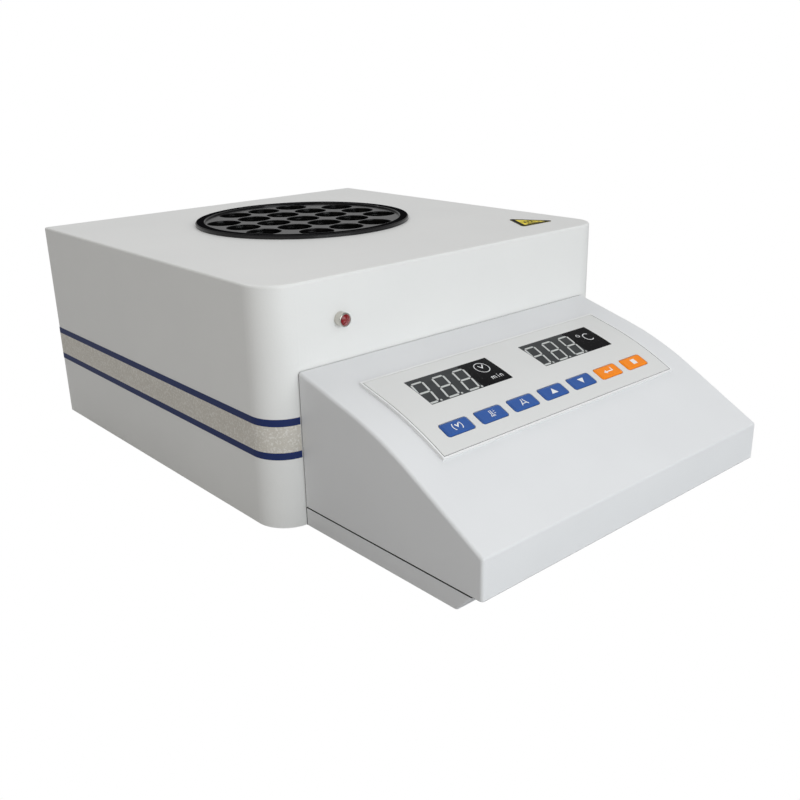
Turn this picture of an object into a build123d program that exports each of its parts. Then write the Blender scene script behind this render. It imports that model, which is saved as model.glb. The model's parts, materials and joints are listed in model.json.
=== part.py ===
from build123d import *
from math import asin, cos, degrees, radians, sin, sqrt, tan
import os

# Dry block heater: a sheet steel box with a drilled aluminium block under a round collar,
# and a moulded control console on its front. Millimetres, +Z up, the console faces -Y,
# origin on the bench below the middle of the whole object.

os.makedirs("parts", exist_ok=True)

# --- box -------------------------------------------------------------------
box_width = 190.0
box_depth = 190.0
box_height = 95.0
corner_radius = 13.7        # the two front upright corners
edge_radius = 1.0           # bend along the top edges
sheet = 1.2                 # cover and rear panel
base_sheet = 1.5            # bottom plate
flange = 10.0               # inward returns that the plates screw to
plate_gap = 0.3             # round each plate set in the cover
screw_r = 1.5               # M3 case screws
screw_head_r = 2.8
screw_head = 1.8

# --- feet ------------------------------------------------------------------
foot_height = 5.0
foot_r = 7.0
foot_inset = 24.0           # foot centre from the box's sides
console_foot_x = 58.0
console_foot_back = 34.0    # behind the console's front
foot_screw_length = 4.0     # of the screw inside the rubber

# --- wells, block and collar -----------------------------------------------
block_x = 2.9               # block axis, right of the box's middle
block_back = 110.9          # block axis, behind the box's front face
well_r = 8.1                # takes a 16 mm vial
well_pitch = 17.2
well_count = 5              # each way, less the four corners
well_floor = 10.0           # metal under the wells
block_r = 48.4
block_height = 62.0
block_proud = 0.9           # block face above the cover
collar_r = 52.0
collar_bore_r = 47.4
collar_proud = 1.7
collar_gap = 0.5            # round the hot block
collar_spigot = 5.0
collar_wall = 1.0
gasket = 0.4
gasket_width = 1.1

# --- heater, insulation and supports ---------------------------------------
heater_r = 44.0
heater_thick = 5.0
clamp_r = 46.0
clamp_thick = 2.0
wool_r = 60.0
wool_gap = 0.6
wool_floor = 7.0
wool_short = 6.5            # insulation stops this far below the cover's top face
can_sheet = 0.8
can_gap = 0.3
bolt_r = 2.0
bolt_circle_r = 30.0
bolt_count = 3
bolt_grip = 8.0             # thread in the block
bolt_head_r = 3.8
bolt_head = 2.6
spacer_r = 4.0
spacer_gap = 0.2
cutout_r = 8.0
cutout_height = 10.0
sensor_r = 1.9
sensor_depth = 36.0         # into the block
sensor_tail = 5.0           # outside the can
lead_hole_r = 5.0
heater_pin_r = 1.2
heater_pin_drop = 15.0
heater_pin_apart = 5.0
heater_pin_forward = 18.0

# --- console ---------------------------------------------------------------
console_width = 164.4
console_depth = 93.4
console_rise = 62.3         # where its top meets the box, above the box's underside
console_wall = 2.2
console_edge = 1.2          # rounding of the outer edges
seam_gap = 0.4              # shadow line where the shell meets the box
seam_depth = 0.9
back_slope = radians(15.2)
front_slope = radians(29.2)
bend_start = 28.5           # the top is flat, then bends, then flat again
bend_end = 60.2
shell_bottom = 7.8
shell_ledge = 8.4           # turned back under the front wall
shell_flange = 9.0
tray_height = 7.4
tray_setback = 11.3         # its foot behind the console's front
tray_lean = 6.9             # the tray's front leans out over its height
tray_lip = 2.0
tray_lip_wall = 1.2
lip_gap = 0.2
post_r = 3.5
post_x = 70.0
post_back = 12.0            # from the box
post_front = 15.4           # from the console's front
pilot_r = 1.2
tray_screw_length = 12.0
fixing_x = 76.0
fixing_zs = (20.0, 48.0)
fixing_boss = 7.0
fixing_length = 8.0
ribbon_height = 25.0        # where it passes from the box into the console
ribbon_width = 14.0
ribbon_thick = 1.0

# --- control panel, measured along the console's top from the box ----------
bezel_half = 67.4
bezel_from = 17.5
bezel_to = 64.3
bezel_rise = 1.2
bezel_rim = 0.7
film = 0.2
film_gap = 0.25
window_half = 62.0          # opening in the console's shell
window_from = 21.0
window_to = 61.8
stud_r = 1.2
stud_x = 64.5
stud_runs = (24.0, 60.0)
stud_length = 5.0
clip_r = 2.2
clip_thick = 0.8
clip_gap = 0.05
display_width = 43.1
display_centres = (-31.0, 31.75)
display_from = 25.1
display_to = 40.9
display_film = 1.1
digits_width = 34.0
digits_height = 19.0
digits_depth = 8.0
digits_share = 0.63         # of the window, from its left end
key_count = 7
key_pitch = 17.35
key_width = 13.4
key_height = 6.2
key_radius = 1.0
key_run = 54.0
key_proud = 0.45
key_gap = 0.3
key_flange = 1.1
key_flange_thick = 1.0
key_stem_r = 1.6
key_travel = 0.4
switch_side = 6.0
switch_height = 3.5
switch_hole_r = 1.9
switch_top = -3.6           # below the console's surface
board_sheet = 1.6
board_half = 74.0
board_post_r = 3.0
board_screw_r = 1.2
board_screw_head_r = 2.2
board_screw_head = 1.4
board_screw_length = 5.0
display_board_half = 10.5
key_board_half = 6.8
display_post_half = 6.0

# --- trim, labels and lamp -------------------------------------------------
tape = 0.15
band_low = 31.4
band_high = 41.9
stripe = 2.85
label_side = 21.6
label_x = 70.9
label_back = 17.9
label_thick = 0.2
lamp_x = -61.8
lamp_height = 78.5
lamp_r = 2.75
lamp_length = 3.3
lamp_barrel_r = 2.0
lamp_barrel = 9.0
lamp_lens_r = 2.2
lamp_lens_proud = 0.5
lamp_nut_r = 3.6
lamp_nut_thick = 2.0

# --- power entry on the rear ------------------------------------------------
entry_x = -62.0
entry_height = 47.0         # its middle, above the box's underside
entry_width = 27.0
entry_tall = 47.0
entry_depth = 20.0
entry_lip = 2.0             # flange overlap and thickness
socket_width = 24.0
socket_tall = 16.4
socket_depth = 14.0
socket_drop = 13.4          # below the module's middle
blade_width = 2.0
blade_tall = 4.0
blade_apart = 7.0
blade_length = 11.0
blade_rise = 2.0
drawer_width = 22.0
drawer_tall = 6.6
drawer_depth = 13.0
drawer_drop = -0.2
drawer_gap = 0.3
drawer_travel = 14.0
fuse_r = 2.5
fuse_length = 20.0
rocker_width = 17.6
rocker_tall = 12.0
rocker_gap = 0.4
rocker_rise = 12.6          # above the module's middle
rocker_tilt = 8.0
rocker_pin_r = 1.0
rocker_pin_fit = 0.05
rocker_depth = 6.0
rocker_proud = 1.5

# --- power board in the box -------------------------------------------------
power_board_width = 130.0
power_board_deep = 34.0
power_board_front = 10.0
power_board_height = 12.0
power_post_r = 3.0
power_post_inset = 4.5
wire_r = 0.9

# --- places worked out from the sizes above ---------------------------------
rear_proud = entry_lip + rocker_proud
front = (console_depth - box_depth - rear_proud) / 2    # the box's front face
back = front + box_depth
base = foot_height                                      # the box's underside
top = base + box_height
block_y = front + block_back
block_top = top + block_proud
block_bottom = block_top - block_height
heater_bottom = block_bottom - heater_thick
clamp_bottom = heater_bottom - clamp_thick
pad_bottom = clamp_bottom - wool_floor
can_bottom = pad_bottom - can_sheet
wool_top = top - wool_short
plate_top = base + base_sheet
can_r = wool_r + can_gap
well_depth = block_height - well_floor
sensor_z = block_bottom + well_floor / 2
cover_hole_r = block_r + collar_gap + collar_wall + 0.3
half_width = box_width / 2
bend_radius = (bend_end - bend_start) / (sin(front_slope) - sin(back_slope))
run_back = bend_start / cos(back_slope)
run_bend = bend_radius * (front_slope - back_slope)
bend_out = run_back + run_bend
run_end = bend_out + (console_depth - bend_end) / cos(front_slope)
tray_front = console_depth - tray_setback
post_ys = (post_back, console_depth - post_front)
film_half = bezel_half - bezel_rim
display_run = (display_from + display_to) / 2
digits_top = -0.6
board_top = digits_top - digits_depth
key_board_top = switch_top - switch_height
power_board_z = base + power_board_height
power_board_y = front + power_board_front + power_board_deep / 2

side_plane = Plane(origin=(0, front, base), x_dir=(0, 1, 0), z_dir=(1, 0, 0))
front_plane = Plane(origin=(0, front, base), x_dir=(1, 0, 0), z_dir=(0, -1, 0))
rear_plane = Plane(origin=(0, back, base), x_dir=(-1, 0, 0), z_dir=(0, 1, 0))
block_spots = Locations((block_x, block_y))


def save(builder, name):
    """Label a finished piece and write it as its own node."""
    builder.part.label = name
    export_step(builder.part, f"parts/{name}.step")


def surface_point(run, height=0.0):
    """Side view (y, z) of a point on the console's top: run along it from the box, height above it."""
    if run <= run_back:
        slope = back_slope
        y = -run * cos(slope)
        z = console_rise - run * sin(slope)
    else:
        slope = min(back_slope + (run - run_back) / bend_radius, front_slope)
        y = -bend_start - bend_radius * (sin(slope) - sin(back_slope))
        z = console_rise - bend_start * tan(back_slope) - bend_radius * (cos(back_slope) - cos(slope))
        past = max(run - bend_out, 0.0)
        y -= past * cos(slope)
        z -= past * sin(slope)
    return (y - height * sin(slope), z + height * cos(slope))


def surface_slope(run):
    """Slope of the console's top in radians."""
    return min(max(back_slope + (run - run_back) / bend_radius, back_slope), front_slope)


def surface_run(start, end, height):
    """Straight, bend and straight along the console's top, for a BuildLine."""
    if start < run_back:
        Line(surface_point(start, height), surface_point(min(end, run_back), height))
    low = max(start, run_back)
    high = min(end, bend_out)
    if low < high:
        middle = (low + high) / 2
        ThreePointArc(surface_point(low, height), surface_point(middle, height), surface_point(high, height))
    if end > bend_out:
        Line(surface_point(max(start, bend_out), height), surface_point(end, height))


def surface_strip(start, end, low, high):
    """Closed outline between two heights over the console's top, for a BuildLine."""
    surface_run(start, end, low)
    Line(surface_point(end, low), surface_point(end, high))
    surface_run(start, end, high)
    Line(surface_point(start, low), surface_point(start, high))


def surface_plane(run, height=0.0):
    """Plane that lies on the console's top: x along the object, y up the slope, z outwards."""
    y, z = surface_point(run, height)
    slope = surface_slope(run)
    return Plane(origin=(0, front + y, base + z), x_dir=(1, 0, 0), z_dir=(0, -sin(slope), cos(slope)))


def surface_height(y):
    """Height of the console's top above the box's underside, y in front of the box."""
    if y <= bend_start:
        return console_rise - y * tan(back_slope)
    if y >= bend_end:
        return surface_point(run_end)[1] + (console_depth - y) * tan(front_slope)
    slope = asin((y - bend_start) / bend_radius + sin(back_slope))
    return console_rise - bend_start * tan(back_slope) - bend_radius * (cos(back_slope) - cos(slope))


def box_outline(inset):
    """Plan of the box: round at the front, square at the back, for a BuildLine."""
    half = half_width - inset
    r = corner_radius - inset
    near = front + inset
    far = back - inset
    turn = r * (1 - cos(radians(45)))
    Line((-half, far), (-half, near + r))
    ThreePointArc((-half, near + r), (-half + turn, near + turn), (-half + r, near))
    Line((-half + r, near), (half - r, near))
    ThreePointArc((half - r, near), (half - turn, near + turn), (half, near + r))
    Line((half, near + r), (half, far))
    Line((half, far), (-half, far))


def well_places():
    """Well centres on a square grid, without its four corners."""
    half = (well_count - 1) // 2
    places = []
    for i in range(-half, half + 1):
        for j in range(-half, half + 1):
            if abs(i) + abs(j) < 2 * half:
                places.append((block_x + i * well_pitch, block_y + j * well_pitch))
    return places


def bolt_places(radius=bolt_circle_r):
    """The bolts that carry the block, one of them at the back."""
    turns = [radians(90 + 360 * n / bolt_count) for n in range(bolt_count)]
    return [(block_x + radius * cos(t), block_y + radius * sin(t)) for t in turns]


foot_x = half_width - foot_inset
box_feet = [(x, y) for x in (-foot_x, foot_x) for y in (front + foot_inset, back - foot_inset)]
console_feet = [(x, front - console_depth + console_foot_back) for x in (-console_foot_x, console_foot_x)]
base_screws = [(x, y) for x in (-1, 1) for y in (0.22, 0.5, 0.78)]
base_screws = [(x * (half_width - sheet - flange / 2), front + y * box_depth) for x, y in base_screws]
rear_screws = [(x * (half_width - sheet - flange / 2), z * box_height) for x in (-1, 1) for z in (0.15, 0.85)]
key_xs = [key_pitch * (n - (key_count - 1) / 2) for n in range(key_count)]
tray_posts = [(x, front - y) for x in (-post_x, post_x) for y in post_ys]
fixings = [(x, z) for x in (-fixing_x, fixing_x) for z in fixing_zs]
power_posts = [
    (x * (power_board_width / 2 - power_post_inset), power_board_y + y * (power_board_deep / 2 - power_post_inset))
    for x in (-1, 1) for y in (-1, 1)
]
heater_pins = [(block_x + x * heater_pin_apart / 2, block_y - heater_pin_forward) for x in (-1, 1)]

# --- steel cover: top, front and sides with inward returns -------------------
with BuildPart() as housing_cover:
    with BuildSketch(Plane.XY.offset(base)):
        with BuildLine():
            box_outline(0)
        make_face()
    extrude(amount=box_height)
    top_edges = housing_cover.faces().sort_by(Axis.Z)[-1].edges()
    fillet(top_edges.filter_by(lambda e: e.center().Y < back - 0.1), radius=edge_radius)
    with BuildSketch(Plane.XY.offset(base)):
        with BuildLine():
            box_outline(sheet)
        make_face()
    extrude(amount=box_height - sheet, mode=Mode.SUBTRACT)
    with BuildSketch(rear_plane):
        with Locations((0, (box_height - sheet) / 2)):
            Rectangle(box_width - 2 * sheet, box_height - sheet)
    extrude(amount=-2 * sheet, mode=Mode.SUBTRACT)
    with BuildSketch(rear_plane.offset(-sheet)):
        with Locations((0, (box_height - sheet + base_sheet) / 2)):
            Rectangle(box_width - 2 * sheet, box_height - sheet - base_sheet)
            Rectangle(box_width - 2 * (sheet + flange), box_height, mode=Mode.SUBTRACT)
        with Locations((0, box_height - sheet - flange / 2)):
            Rectangle(box_width - 2 * sheet, flange)
    extrude(amount=-sheet)
    with BuildSketch(Plane.XY.offset(plate_top)):
        with BuildLine():
            box_outline(sheet)
        make_face()
        with Locations((0, (front + back) / 2 + flange)):
            Rectangle(box_width - 2 * (sheet + flange), box_depth, mode=Mode.SUBTRACT)
        with Locations((0, back)):
            Rectangle(box_width, 2 * sheet + 0.02, mode=Mode.SUBTRACT)
    extrude(amount=sheet)
    with BuildSketch(Plane.XY.offset(top)):
        with Locations((block_x, block_y)):
            Circle(cover_hole_r)
    extrude(amount=-2 * sheet, mode=Mode.SUBTRACT)
    with BuildSketch(front_plane):
        with Locations((lamp_x, lamp_height)):
            Circle(lamp_barrel_r)
        with Locations(*fixings):
            Circle(screw_r)
        with Locations((0, ribbon_height)):
            RectangleRounded(ribbon_width + 30, ribbon_thick + 13, 2)
    extrude(amount=-2 * sheet, mode=Mode.SUBTRACT)
    with BuildSketch(rear_plane):
        with Locations(*rear_screws):
            Circle(screw_r)
    extrude(amount=-3 * sheet, mode=Mode.SUBTRACT)
    with BuildSketch(Plane.XY.offset(base)):
        with Locations(*base_screws):
            Circle(screw_r)
    extrude(amount=plate_top + sheet - base, mode=Mode.SUBTRACT)
save(housing_cover, "housing_cover")

# --- rear panel with vents and the power entry's cut-out ---------------------
panel_width = box_width - 2 * (sheet + plate_gap)
panel_height = box_height - sheet - plate_gap
with BuildPart() as rear_panel:
    with BuildSketch(rear_plane):
        with Locations((0, panel_height / 2)):
            Rectangle(panel_width, panel_height)
        with Locations((-entry_x, entry_height)):
            Rectangle(entry_width, entry_tall, mode=Mode.SUBTRACT)
        with Locations(*rear_screws):
            Circle(screw_r, mode=Mode.SUBTRACT)
        for height in (36.0, 60.0):
            with Locations((-38.0, height)):
                with GridLocations(7.0, 1.0, 9, 1):
                    SlotOverall(17.0, 3.0, rotation=90, mode=Mode.SUBTRACT)
    extrude(amount=-sheet)
save(rear_panel, "rear_panel")

# --- bottom plate: vents, bolt, foot, screw and post holes -------------------
with BuildPart() as bottom_plate:
    with BuildSketch(Plane.XY.offset(base)):
        with BuildLine():
            box_outline(sheet + plate_gap)
        make_face()
        with Locations(*bolt_places()):
            Circle(bolt_r, mode=Mode.SUBTRACT)
        with Locations(*box_feet):
            Circle(screw_r, mode=Mode.SUBTRACT)
        with Locations(*base_screws):
            Circle(screw_r, mode=Mode.SUBTRACT)
        for x in (-1, 1):
            with Locations((x * 0.76 * half_width, block_y)):
                with GridLocations(1.0, 8.0, 1, 7):
                    SlotOverall(14.0, 3.2, mode=Mode.SUBTRACT)
    extrude(amount=base_sheet)
save(bottom_plate, "bottom_plate")

# --- feet, each with its screw driven down from inside -----------------------
with BuildPart() as rubber_feet:
    with BuildSketch():
        with Locations(*box_feet, *console_feet):
            Circle(foot_r)
    extrude(amount=foot_height, taper=-4)
    with BuildSketch(Plane.XY.offset(foot_height)):
        with Locations(*box_feet, *console_feet):
            Circle(screw_r)
    extrude(amount=-foot_screw_length, mode=Mode.SUBTRACT)
save(rubber_feet, "rubber_feet")

with BuildPart() as foot_screws:
    for places, seat in ((box_feet, plate_top), (console_feet, base + console_wall)):
        with BuildSketch(Plane.XY.offset(foot_height - foot_screw_length)):
            with Locations(*places):
                Circle(screw_r)
        extrude(amount=seat - foot_height + foot_screw_length)
        with BuildSketch(Plane.XY.offset(seat)):
            with Locations(*places):
                Circle(screw_head_r)
        extrude(amount=screw_head)
save(foot_screws, "foot_screws")

# --- screws of the two plates ------------------------------------------------
with BuildPart() as case_screws:
    with BuildSketch(Plane.XY.offset(base)):
        with Locations(*base_screws):
            Circle(screw_r)
    extrude(amount=5.0)
    with BuildSketch(Plane.XY.offset(base - screw_head)):
        with Locations(*base_screws):
            Circle(screw_head_r)
    extrude(amount=screw_head)
    with BuildSketch(rear_plane):
        with Locations(*rear_screws):
            Circle(screw_r)
    extrude(amount=-5.0)
    with BuildSketch(rear_plane):
        with Locations(*rear_screws):
            Circle(screw_head_r)
    extrude(amount=screw_head)
save(case_screws, "case_screws")


# --- trim tape round the left and right sides, up to the console -------------
def tape_outline(side):
    """Plan of a film on one side of the box, round its corner and up to the console."""
    half = half_width
    r = corner_radius
    stop = console_width / 2 + 0.3
    bend_stop = max(stop, half - r)
    reach = asin((bend_stop - half + r) / r)
    end_in = (side * bend_stop, front + r - r * cos(reach))
    out = r + tape
    reach_out = asin((bend_stop - half + r) / out)
    end_out = (side * bend_stop, front + r - out * cos(reach_out))
    middle = (reach + radians(90)) / 2
    corner = (half - r, front + r)
    inner_mid = (side * (corner[0] + r * sin(middle)), corner[1] - r * cos(middle))
    outer_mid = (side * (corner[0] + out * sin(middle)), corner[1] - out * cos(middle))
    Line((side * half, back), (side * half, front + r))
    ThreePointArc((side * half, front + r), inner_mid, end_in)
    if bend_stop > stop:
        Polyline(end_in, (side * stop, front), (side * stop, front - tape), end_out)
    else:
        Line(end_in, end_out)
    ThreePointArc(end_out, outer_mid, (side * (half + tape), front + r))
    Line((side * (half + tape), front + r), (side * (half + tape), back))
    Line((side * (half + tape), back), (side * half, back))


def tape_pair(low, high):
    """One film on each side between two heights."""
    with BuildPart() as films:
        for side in (-1, 1):
            with BuildSketch(Plane.XY.offset(base + low)):
                with BuildLine():
                    tape_outline(side)
                make_face()
            extrude(amount=high - low)
    return films.part


with BuildPart() as trim_band:
    add(tape_pair(band_low, band_high))
save(trim_band, "trim_band")

with BuildPart() as trim_stripes:
    add(tape_pair(band_low - stripe, band_low))
    add(tape_pair(band_high, band_high + stripe))
save(trim_stripes, "trim_stripes")

label_rise = label_side * sin(radians(60))
with BuildPart() as caution_label:
    with BuildSketch(Plane.XY.offset(top)) as triangle:
        with BuildLine():
            near = front + label_back
            left = (label_x - label_side / 2, near)
            right = (label_x + label_side / 2, near)
            Polyline(left, right, (label_x, near + label_rise), close=True)
        make_face()
        fillet(triangle.vertices(), radius=1.2)
    extrude(amount=label_thick)
save(caution_label, "caution_label")

# --- collar and its gasket ---------------------------------------------------
block_axis = Plane(origin=(block_x, block_y, top), x_dir=(1, 0, 0), z_dir=(0, -1, 0))
collar_inner = block_r + collar_gap
collar_outer = collar_inner + collar_wall
skirt_r = collar_outer + 0.3 + gasket_width
with BuildPart() as block_collar:
    with BuildSketch(block_axis):
        with BuildLine():
            Polyline(
                (collar_bore_r, block_proud),
                (collar_inner, block_proud),
                (collar_inner, -collar_spigot),
                (collar_outer, -collar_spigot),
                (collar_outer, gasket),
                (skirt_r, gasket),
                (skirt_r, 0),
                (collar_r, 0),
                (collar_r, collar_proud - 0.4),
                (collar_r - 0.4, collar_proud),
                (collar_bore_r + 0.3, collar_proud),
                (collar_bore_r, collar_proud - 0.3),
                close=True,
            )
        make_face()
    revolve(axis=Axis((block_x, block_y, 0), (0, 0, 1)))
save(block_collar, "block_collar")

with BuildPart() as collar_gasket:
    with BuildSketch(Plane.XY.offset(top)):
        with Locations((block_x, block_y)):
            Circle(skirt_r)
            Circle(cover_hole_r, mode=Mode.SUBTRACT)
    extrude(amount=gasket)
save(collar_gasket, "collar_gasket")

# --- heating block: wells from above, bolts from below, sensor from the front --
with BuildPart() as heating_block:
    with BuildSketch(Plane.XY.offset(block_bottom)):
        with Locations((block_x, block_y)):
            Circle(block_r)
    extrude(amount=block_height)
    with BuildSketch(Plane.XY.offset(block_top)):
        with Locations(*well_places()):
            Circle(well_r)
    extrude(amount=-well_depth, mode=Mode.SUBTRACT)
    with BuildSketch(Plane.XY.offset(block_bottom)):
        with Locations(*bolt_places()):
            Circle(bolt_r)
    extrude(amount=bolt_grip, mode=Mode.SUBTRACT)
    with BuildSketch(Plane(origin=(block_x, block_y - block_r, sensor_z), z_dir=(0, 1, 0))):
        Circle(sensor_r)
    extrude(amount=sensor_depth, mode=Mode.SUBTRACT)
save(heating_block, "heating_block")

with BuildPart() as heater_disc:
    with BuildSketch(Plane.XY.offset(heater_bottom)):
        with Locations((block_x, block_y)):
            Circle(heater_r)
        with Locations(*bolt_places()):
            Circle(bolt_r + spacer_gap, mode=Mode.SUBTRACT)
    extrude(amount=heater_thick)
    with BuildSketch(Plane.XY.offset(heater_bottom)):
        with Locations(*heater_pins):
            Circle(heater_pin_r)
    extrude(amount=-heater_pin_drop)
save(heater_disc, "heater_disc")

with BuildPart() as clamp_plate:
    with BuildSketch(Plane.XY.offset(clamp_bottom)):
        with Locations((block_x, block_y)):
            Circle(clamp_r)
        with Locations(*bolt_places()):
            Circle(bolt_r + spacer_gap, mode=Mode.SUBTRACT)
        with Locations((block_x, block_y - heater_pin_forward)):
            Circle(lead_hole_r, mode=Mode.SUBTRACT)
    extrude(amount=clamp_thick)
save(clamp_plate, "clamp_plate")

with BuildPart() as insulation_sleeve:
    with BuildSketch(Plane.XY.offset(clamp_bottom)):
        with Locations((block_x, block_y)):
            Circle(wool_r)
            Circle(block_r + wool_gap, mode=Mode.SUBTRACT)
    extrude(amount=wool_top - clamp_bottom)
    with BuildSketch(Plane(origin=(block_x, block_y, sensor_z), z_dir=(0, -1, 0))):
        Circle(sensor_r + spacer_gap)
    extrude(amount=wool_r + 1, mode=Mode.SUBTRACT)
save(insulation_sleeve, "insulation_sleeve")

with BuildPart() as insulation_pad:
    with BuildSketch(Plane.XY.offset(pad_bottom)):
        with Locations((block_x, block_y)):
            Circle(wool_r)
            Circle(cutout_r + 1, mode=Mode.SUBTRACT)
        with Locations(*bolt_places()):
            Circle(spacer_r + spacer_gap, mode=Mode.SUBTRACT)
        with Locations((block_x, block_y - heater_pin_forward)):
            Circle(lead_hole_r, mode=Mode.SUBTRACT)
    extrude(amount=wool_floor)
save(insulation_pad, "insulation_pad")

with BuildPart() as block_can:
    with BuildSketch(Plane.XY.offset(can_bottom)):
        with Locations((block_x, block_y)):
            Circle(can_r + can_sheet)
    extrude(amount=wool_top - can_bottom)
    with BuildSketch(Plane.XY.offset(pad_bottom)):
        with Locations((block_x, block_y)):
            Circle(can_r)
    extrude(amount=wool_top - pad_bottom, mode=Mode.SUBTRACT)
    with BuildSketch(Plane.XY.offset(can_bottom)):
        with Locations((block_x, block_y)):
            Circle(cutout_r + 1)
        with Locations(*bolt_places()):
            Circle(bolt_r + spacer_gap)
        with Locations((block_x, block_y - heater_pin_forward)):
            Circle(lead_hole_r)
    extrude(amount=can_sheet, mode=Mode.SUBTRACT)
    with BuildSketch(Plane(origin=(block_x, block_y - can_r + 2, sensor_z), z_dir=(0, -1, 0))):
        Circle(sensor_r + spacer_gap)
    extrude(amount=5, mode=Mode.SUBTRACT)
save(block_can, "block_can")

# --- bolts, spacers, sensor and thermal cut-out ------------------------------
with BuildPart() as block_bolts:
    with BuildSketch(Plane.XY.offset(base)):
        with Locations(*bolt_places()):
            Circle(bolt_r)
    extrude(amount=block_bottom + bolt_grip - base)
    with BuildSketch(Plane.XY.offset(base)):
        with Locations(*bolt_places()):
            RegularPolygon(bolt_head_r, 6)
    extrude(amount=-bolt_head)
save(block_bolts, "block_bolts")


for spacer_name, low, high in (
    ("steel_spacers", plate_top, can_bottom),
    ("ceramic_spacers", pad_bottom, clamp_bottom),
):
    with BuildPart() as spacers:
        with BuildSketch(Plane.XY.offset(low)):
            with Locations(*bolt_places()):
                Circle(spacer_r)
                Circle(bolt_r + spacer_gap, mode=Mode.SUBTRACT)
        extrude(amount=high - low)
    save(spacers, spacer_name)

with BuildPart() as temperature_sensor:
    with BuildSketch(Plane(origin=(block_x, block_y - block_r + sensor_depth, sensor_z), z_dir=(0, -1, 0))):
        Circle(sensor_r)
    extrude(amount=sensor_depth + can_r + can_sheet - block_r + sensor_tail)
save(temperature_sensor, "temperature_sensor")

cutout_bottom = clamp_bottom - cutout_height
with BuildPart() as thermal_cutout:
    with BuildSketch(Plane.XY.offset(cutout_bottom)):
        with Locations((block_x, block_y)):
            Circle(cutout_r)
    extrude(amount=cutout_height)
    with BuildSketch(Plane.XY.offset(cutout_bottom)):
        with Locations((block_x - 5, block_y), (block_x + 5, block_y)):
            Rectangle(0.8, 5)
    extrude(amount=-5)
save(thermal_cutout, "thermal_cutout")

# --- indicator lamp on the front face ----------------------------------------
lamp_plane = Plane(origin=(lamp_x, front, base + lamp_height), x_dir=(1, 0, 0), z_dir=(0, -1, 0))
with BuildPart() as lamp_bezel:
    with BuildSketch(lamp_plane):
        Circle(lamp_r)
    extrude(amount=lamp_length)
    fillet(lamp_bezel.faces().sort_by(Axis.Y)[0].edges(), radius=0.3)
    with BuildSketch(lamp_plane):
        Circle(lamp_barrel_r)
    extrude(amount=-lamp_barrel)
    with BuildSketch(lamp_plane.offset(lamp_length)):
        Circle(lamp_lens_r)
    extrude(amount=-lamp_length + 0.8, mode=Mode.SUBTRACT)
save(lamp_bezel, "lamp_bezel")

with BuildPart() as lamp_lens:
    with BuildSketch(lamp_plane.offset(0.8)):
        Circle(lamp_lens_r)
    extrude(amount=lamp_length - 0.8)
    with BuildSketch(lamp_plane.offset(lamp_length)):
        RegularPolygon(lamp_lens_r, 8)
    extrude(amount=lamp_lens_proud, taper=35)
save(lamp_lens, "lamp_lens")

with BuildPart() as lamp_nut:
    with BuildSketch(lamp_plane.offset(-sheet)):
        RegularPolygon(lamp_nut_r, 6)
        Circle(lamp_barrel_r, mode=Mode.SUBTRACT)
    extrude(amount=-lamp_nut_thick)
save(lamp_nut, "lamp_nut")

# --- power entry: socket, fuse drawer and rocker in one moulding --------------
entry_plane = Plane(origin=(entry_x, back, base + entry_height), x_dir=(-1, 0, 0), z_dir=(0, 1, 0))
drawer_pocket_depth = drawer_depth + 1.5
rocker_pocket = rocker_depth + 5.0
rocker_axis_z = base + entry_height + rocker_rise
rocker_axis_y = back + entry_lip - 4.0
with BuildPart() as power_entry:
    with BuildSketch(entry_plane):
        RectangleRounded(entry_width + 2 * entry_lip, entry_tall + 2 * entry_lip, 2)
    extrude(amount=entry_lip)
    fillet(power_entry.faces().sort_by(Axis.Y)[-1].edges(), radius=0.6)
    with BuildSketch(entry_plane):
        Rectangle(entry_width, entry_tall)
    extrude(amount=-entry_depth)
    with BuildSketch(entry_plane.offset(entry_lip)):
        with Locations((0, -socket_drop)):
            RectangleRounded(socket_width, socket_tall, 2.5)
    extrude(amount=-socket_depth, mode=Mode.SUBTRACT)
    with BuildSketch(entry_plane.offset(entry_lip)):
        with Locations((0, -drawer_drop)):
            Rectangle(drawer_width, drawer_tall)
    extrude(amount=-drawer_pocket_depth, mode=Mode.SUBTRACT)
    with BuildSketch(entry_plane.offset(entry_lip)):
        with Locations((0, rocker_rise)):
            Rectangle(rocker_width, rocker_tall)
    extrude(amount=-rocker_pocket, mode=Mode.SUBTRACT)
    with BuildSketch(Plane(origin=(entry_x, rocker_axis_y, rocker_axis_z), x_dir=(0, 1, 0), z_dir=(1, 0, 0))):
        Circle(rocker_pin_r)
    extrude(amount=rocker_width / 2 + 2.5, both=True, mode=Mode.SUBTRACT)
save(power_entry, "power_entry")

with BuildPart() as inlet_blades:
    with BuildSketch(entry_plane.offset(entry_lip - socket_depth)):
        with Locations((-blade_apart, -socket_drop - blade_rise), (blade_apart, -socket_drop - blade_rise)):
            Rectangle(blade_width, blade_tall)
        with Locations((0, -socket_drop + blade_rise)):
            Rectangle(blade_width, blade_tall)
    extrude(amount=blade_length)
save(inlet_blades, "inlet_blades")

with BuildPart() as fuse_drawer:
    with BuildSketch(entry_plane.offset(entry_lip + 0.8)):
        with Locations((0, -drawer_drop)):
            Rectangle(drawer_width - 2 * drawer_gap, drawer_tall - 2 * drawer_gap)
    extrude(amount=-drawer_depth)
    with BuildSketch(entry_plane.offset(entry_lip + 0.8)):
        with Locations((0, -drawer_drop)):
            Rectangle(7.0, 1.2)
    extrude(amount=-0.8, mode=Mode.SUBTRACT)
    with BuildSketch(Plane(origin=(entry_x, back + entry_lip - 6.5, base + entry_height - drawer_drop), z_dir=(1, 0, 0))):
        Circle(fuse_r)
    extrude(amount=fuse_length / 2, both=True, mode=Mode.SUBTRACT)
save(fuse_drawer, "fuse_drawer")

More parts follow.
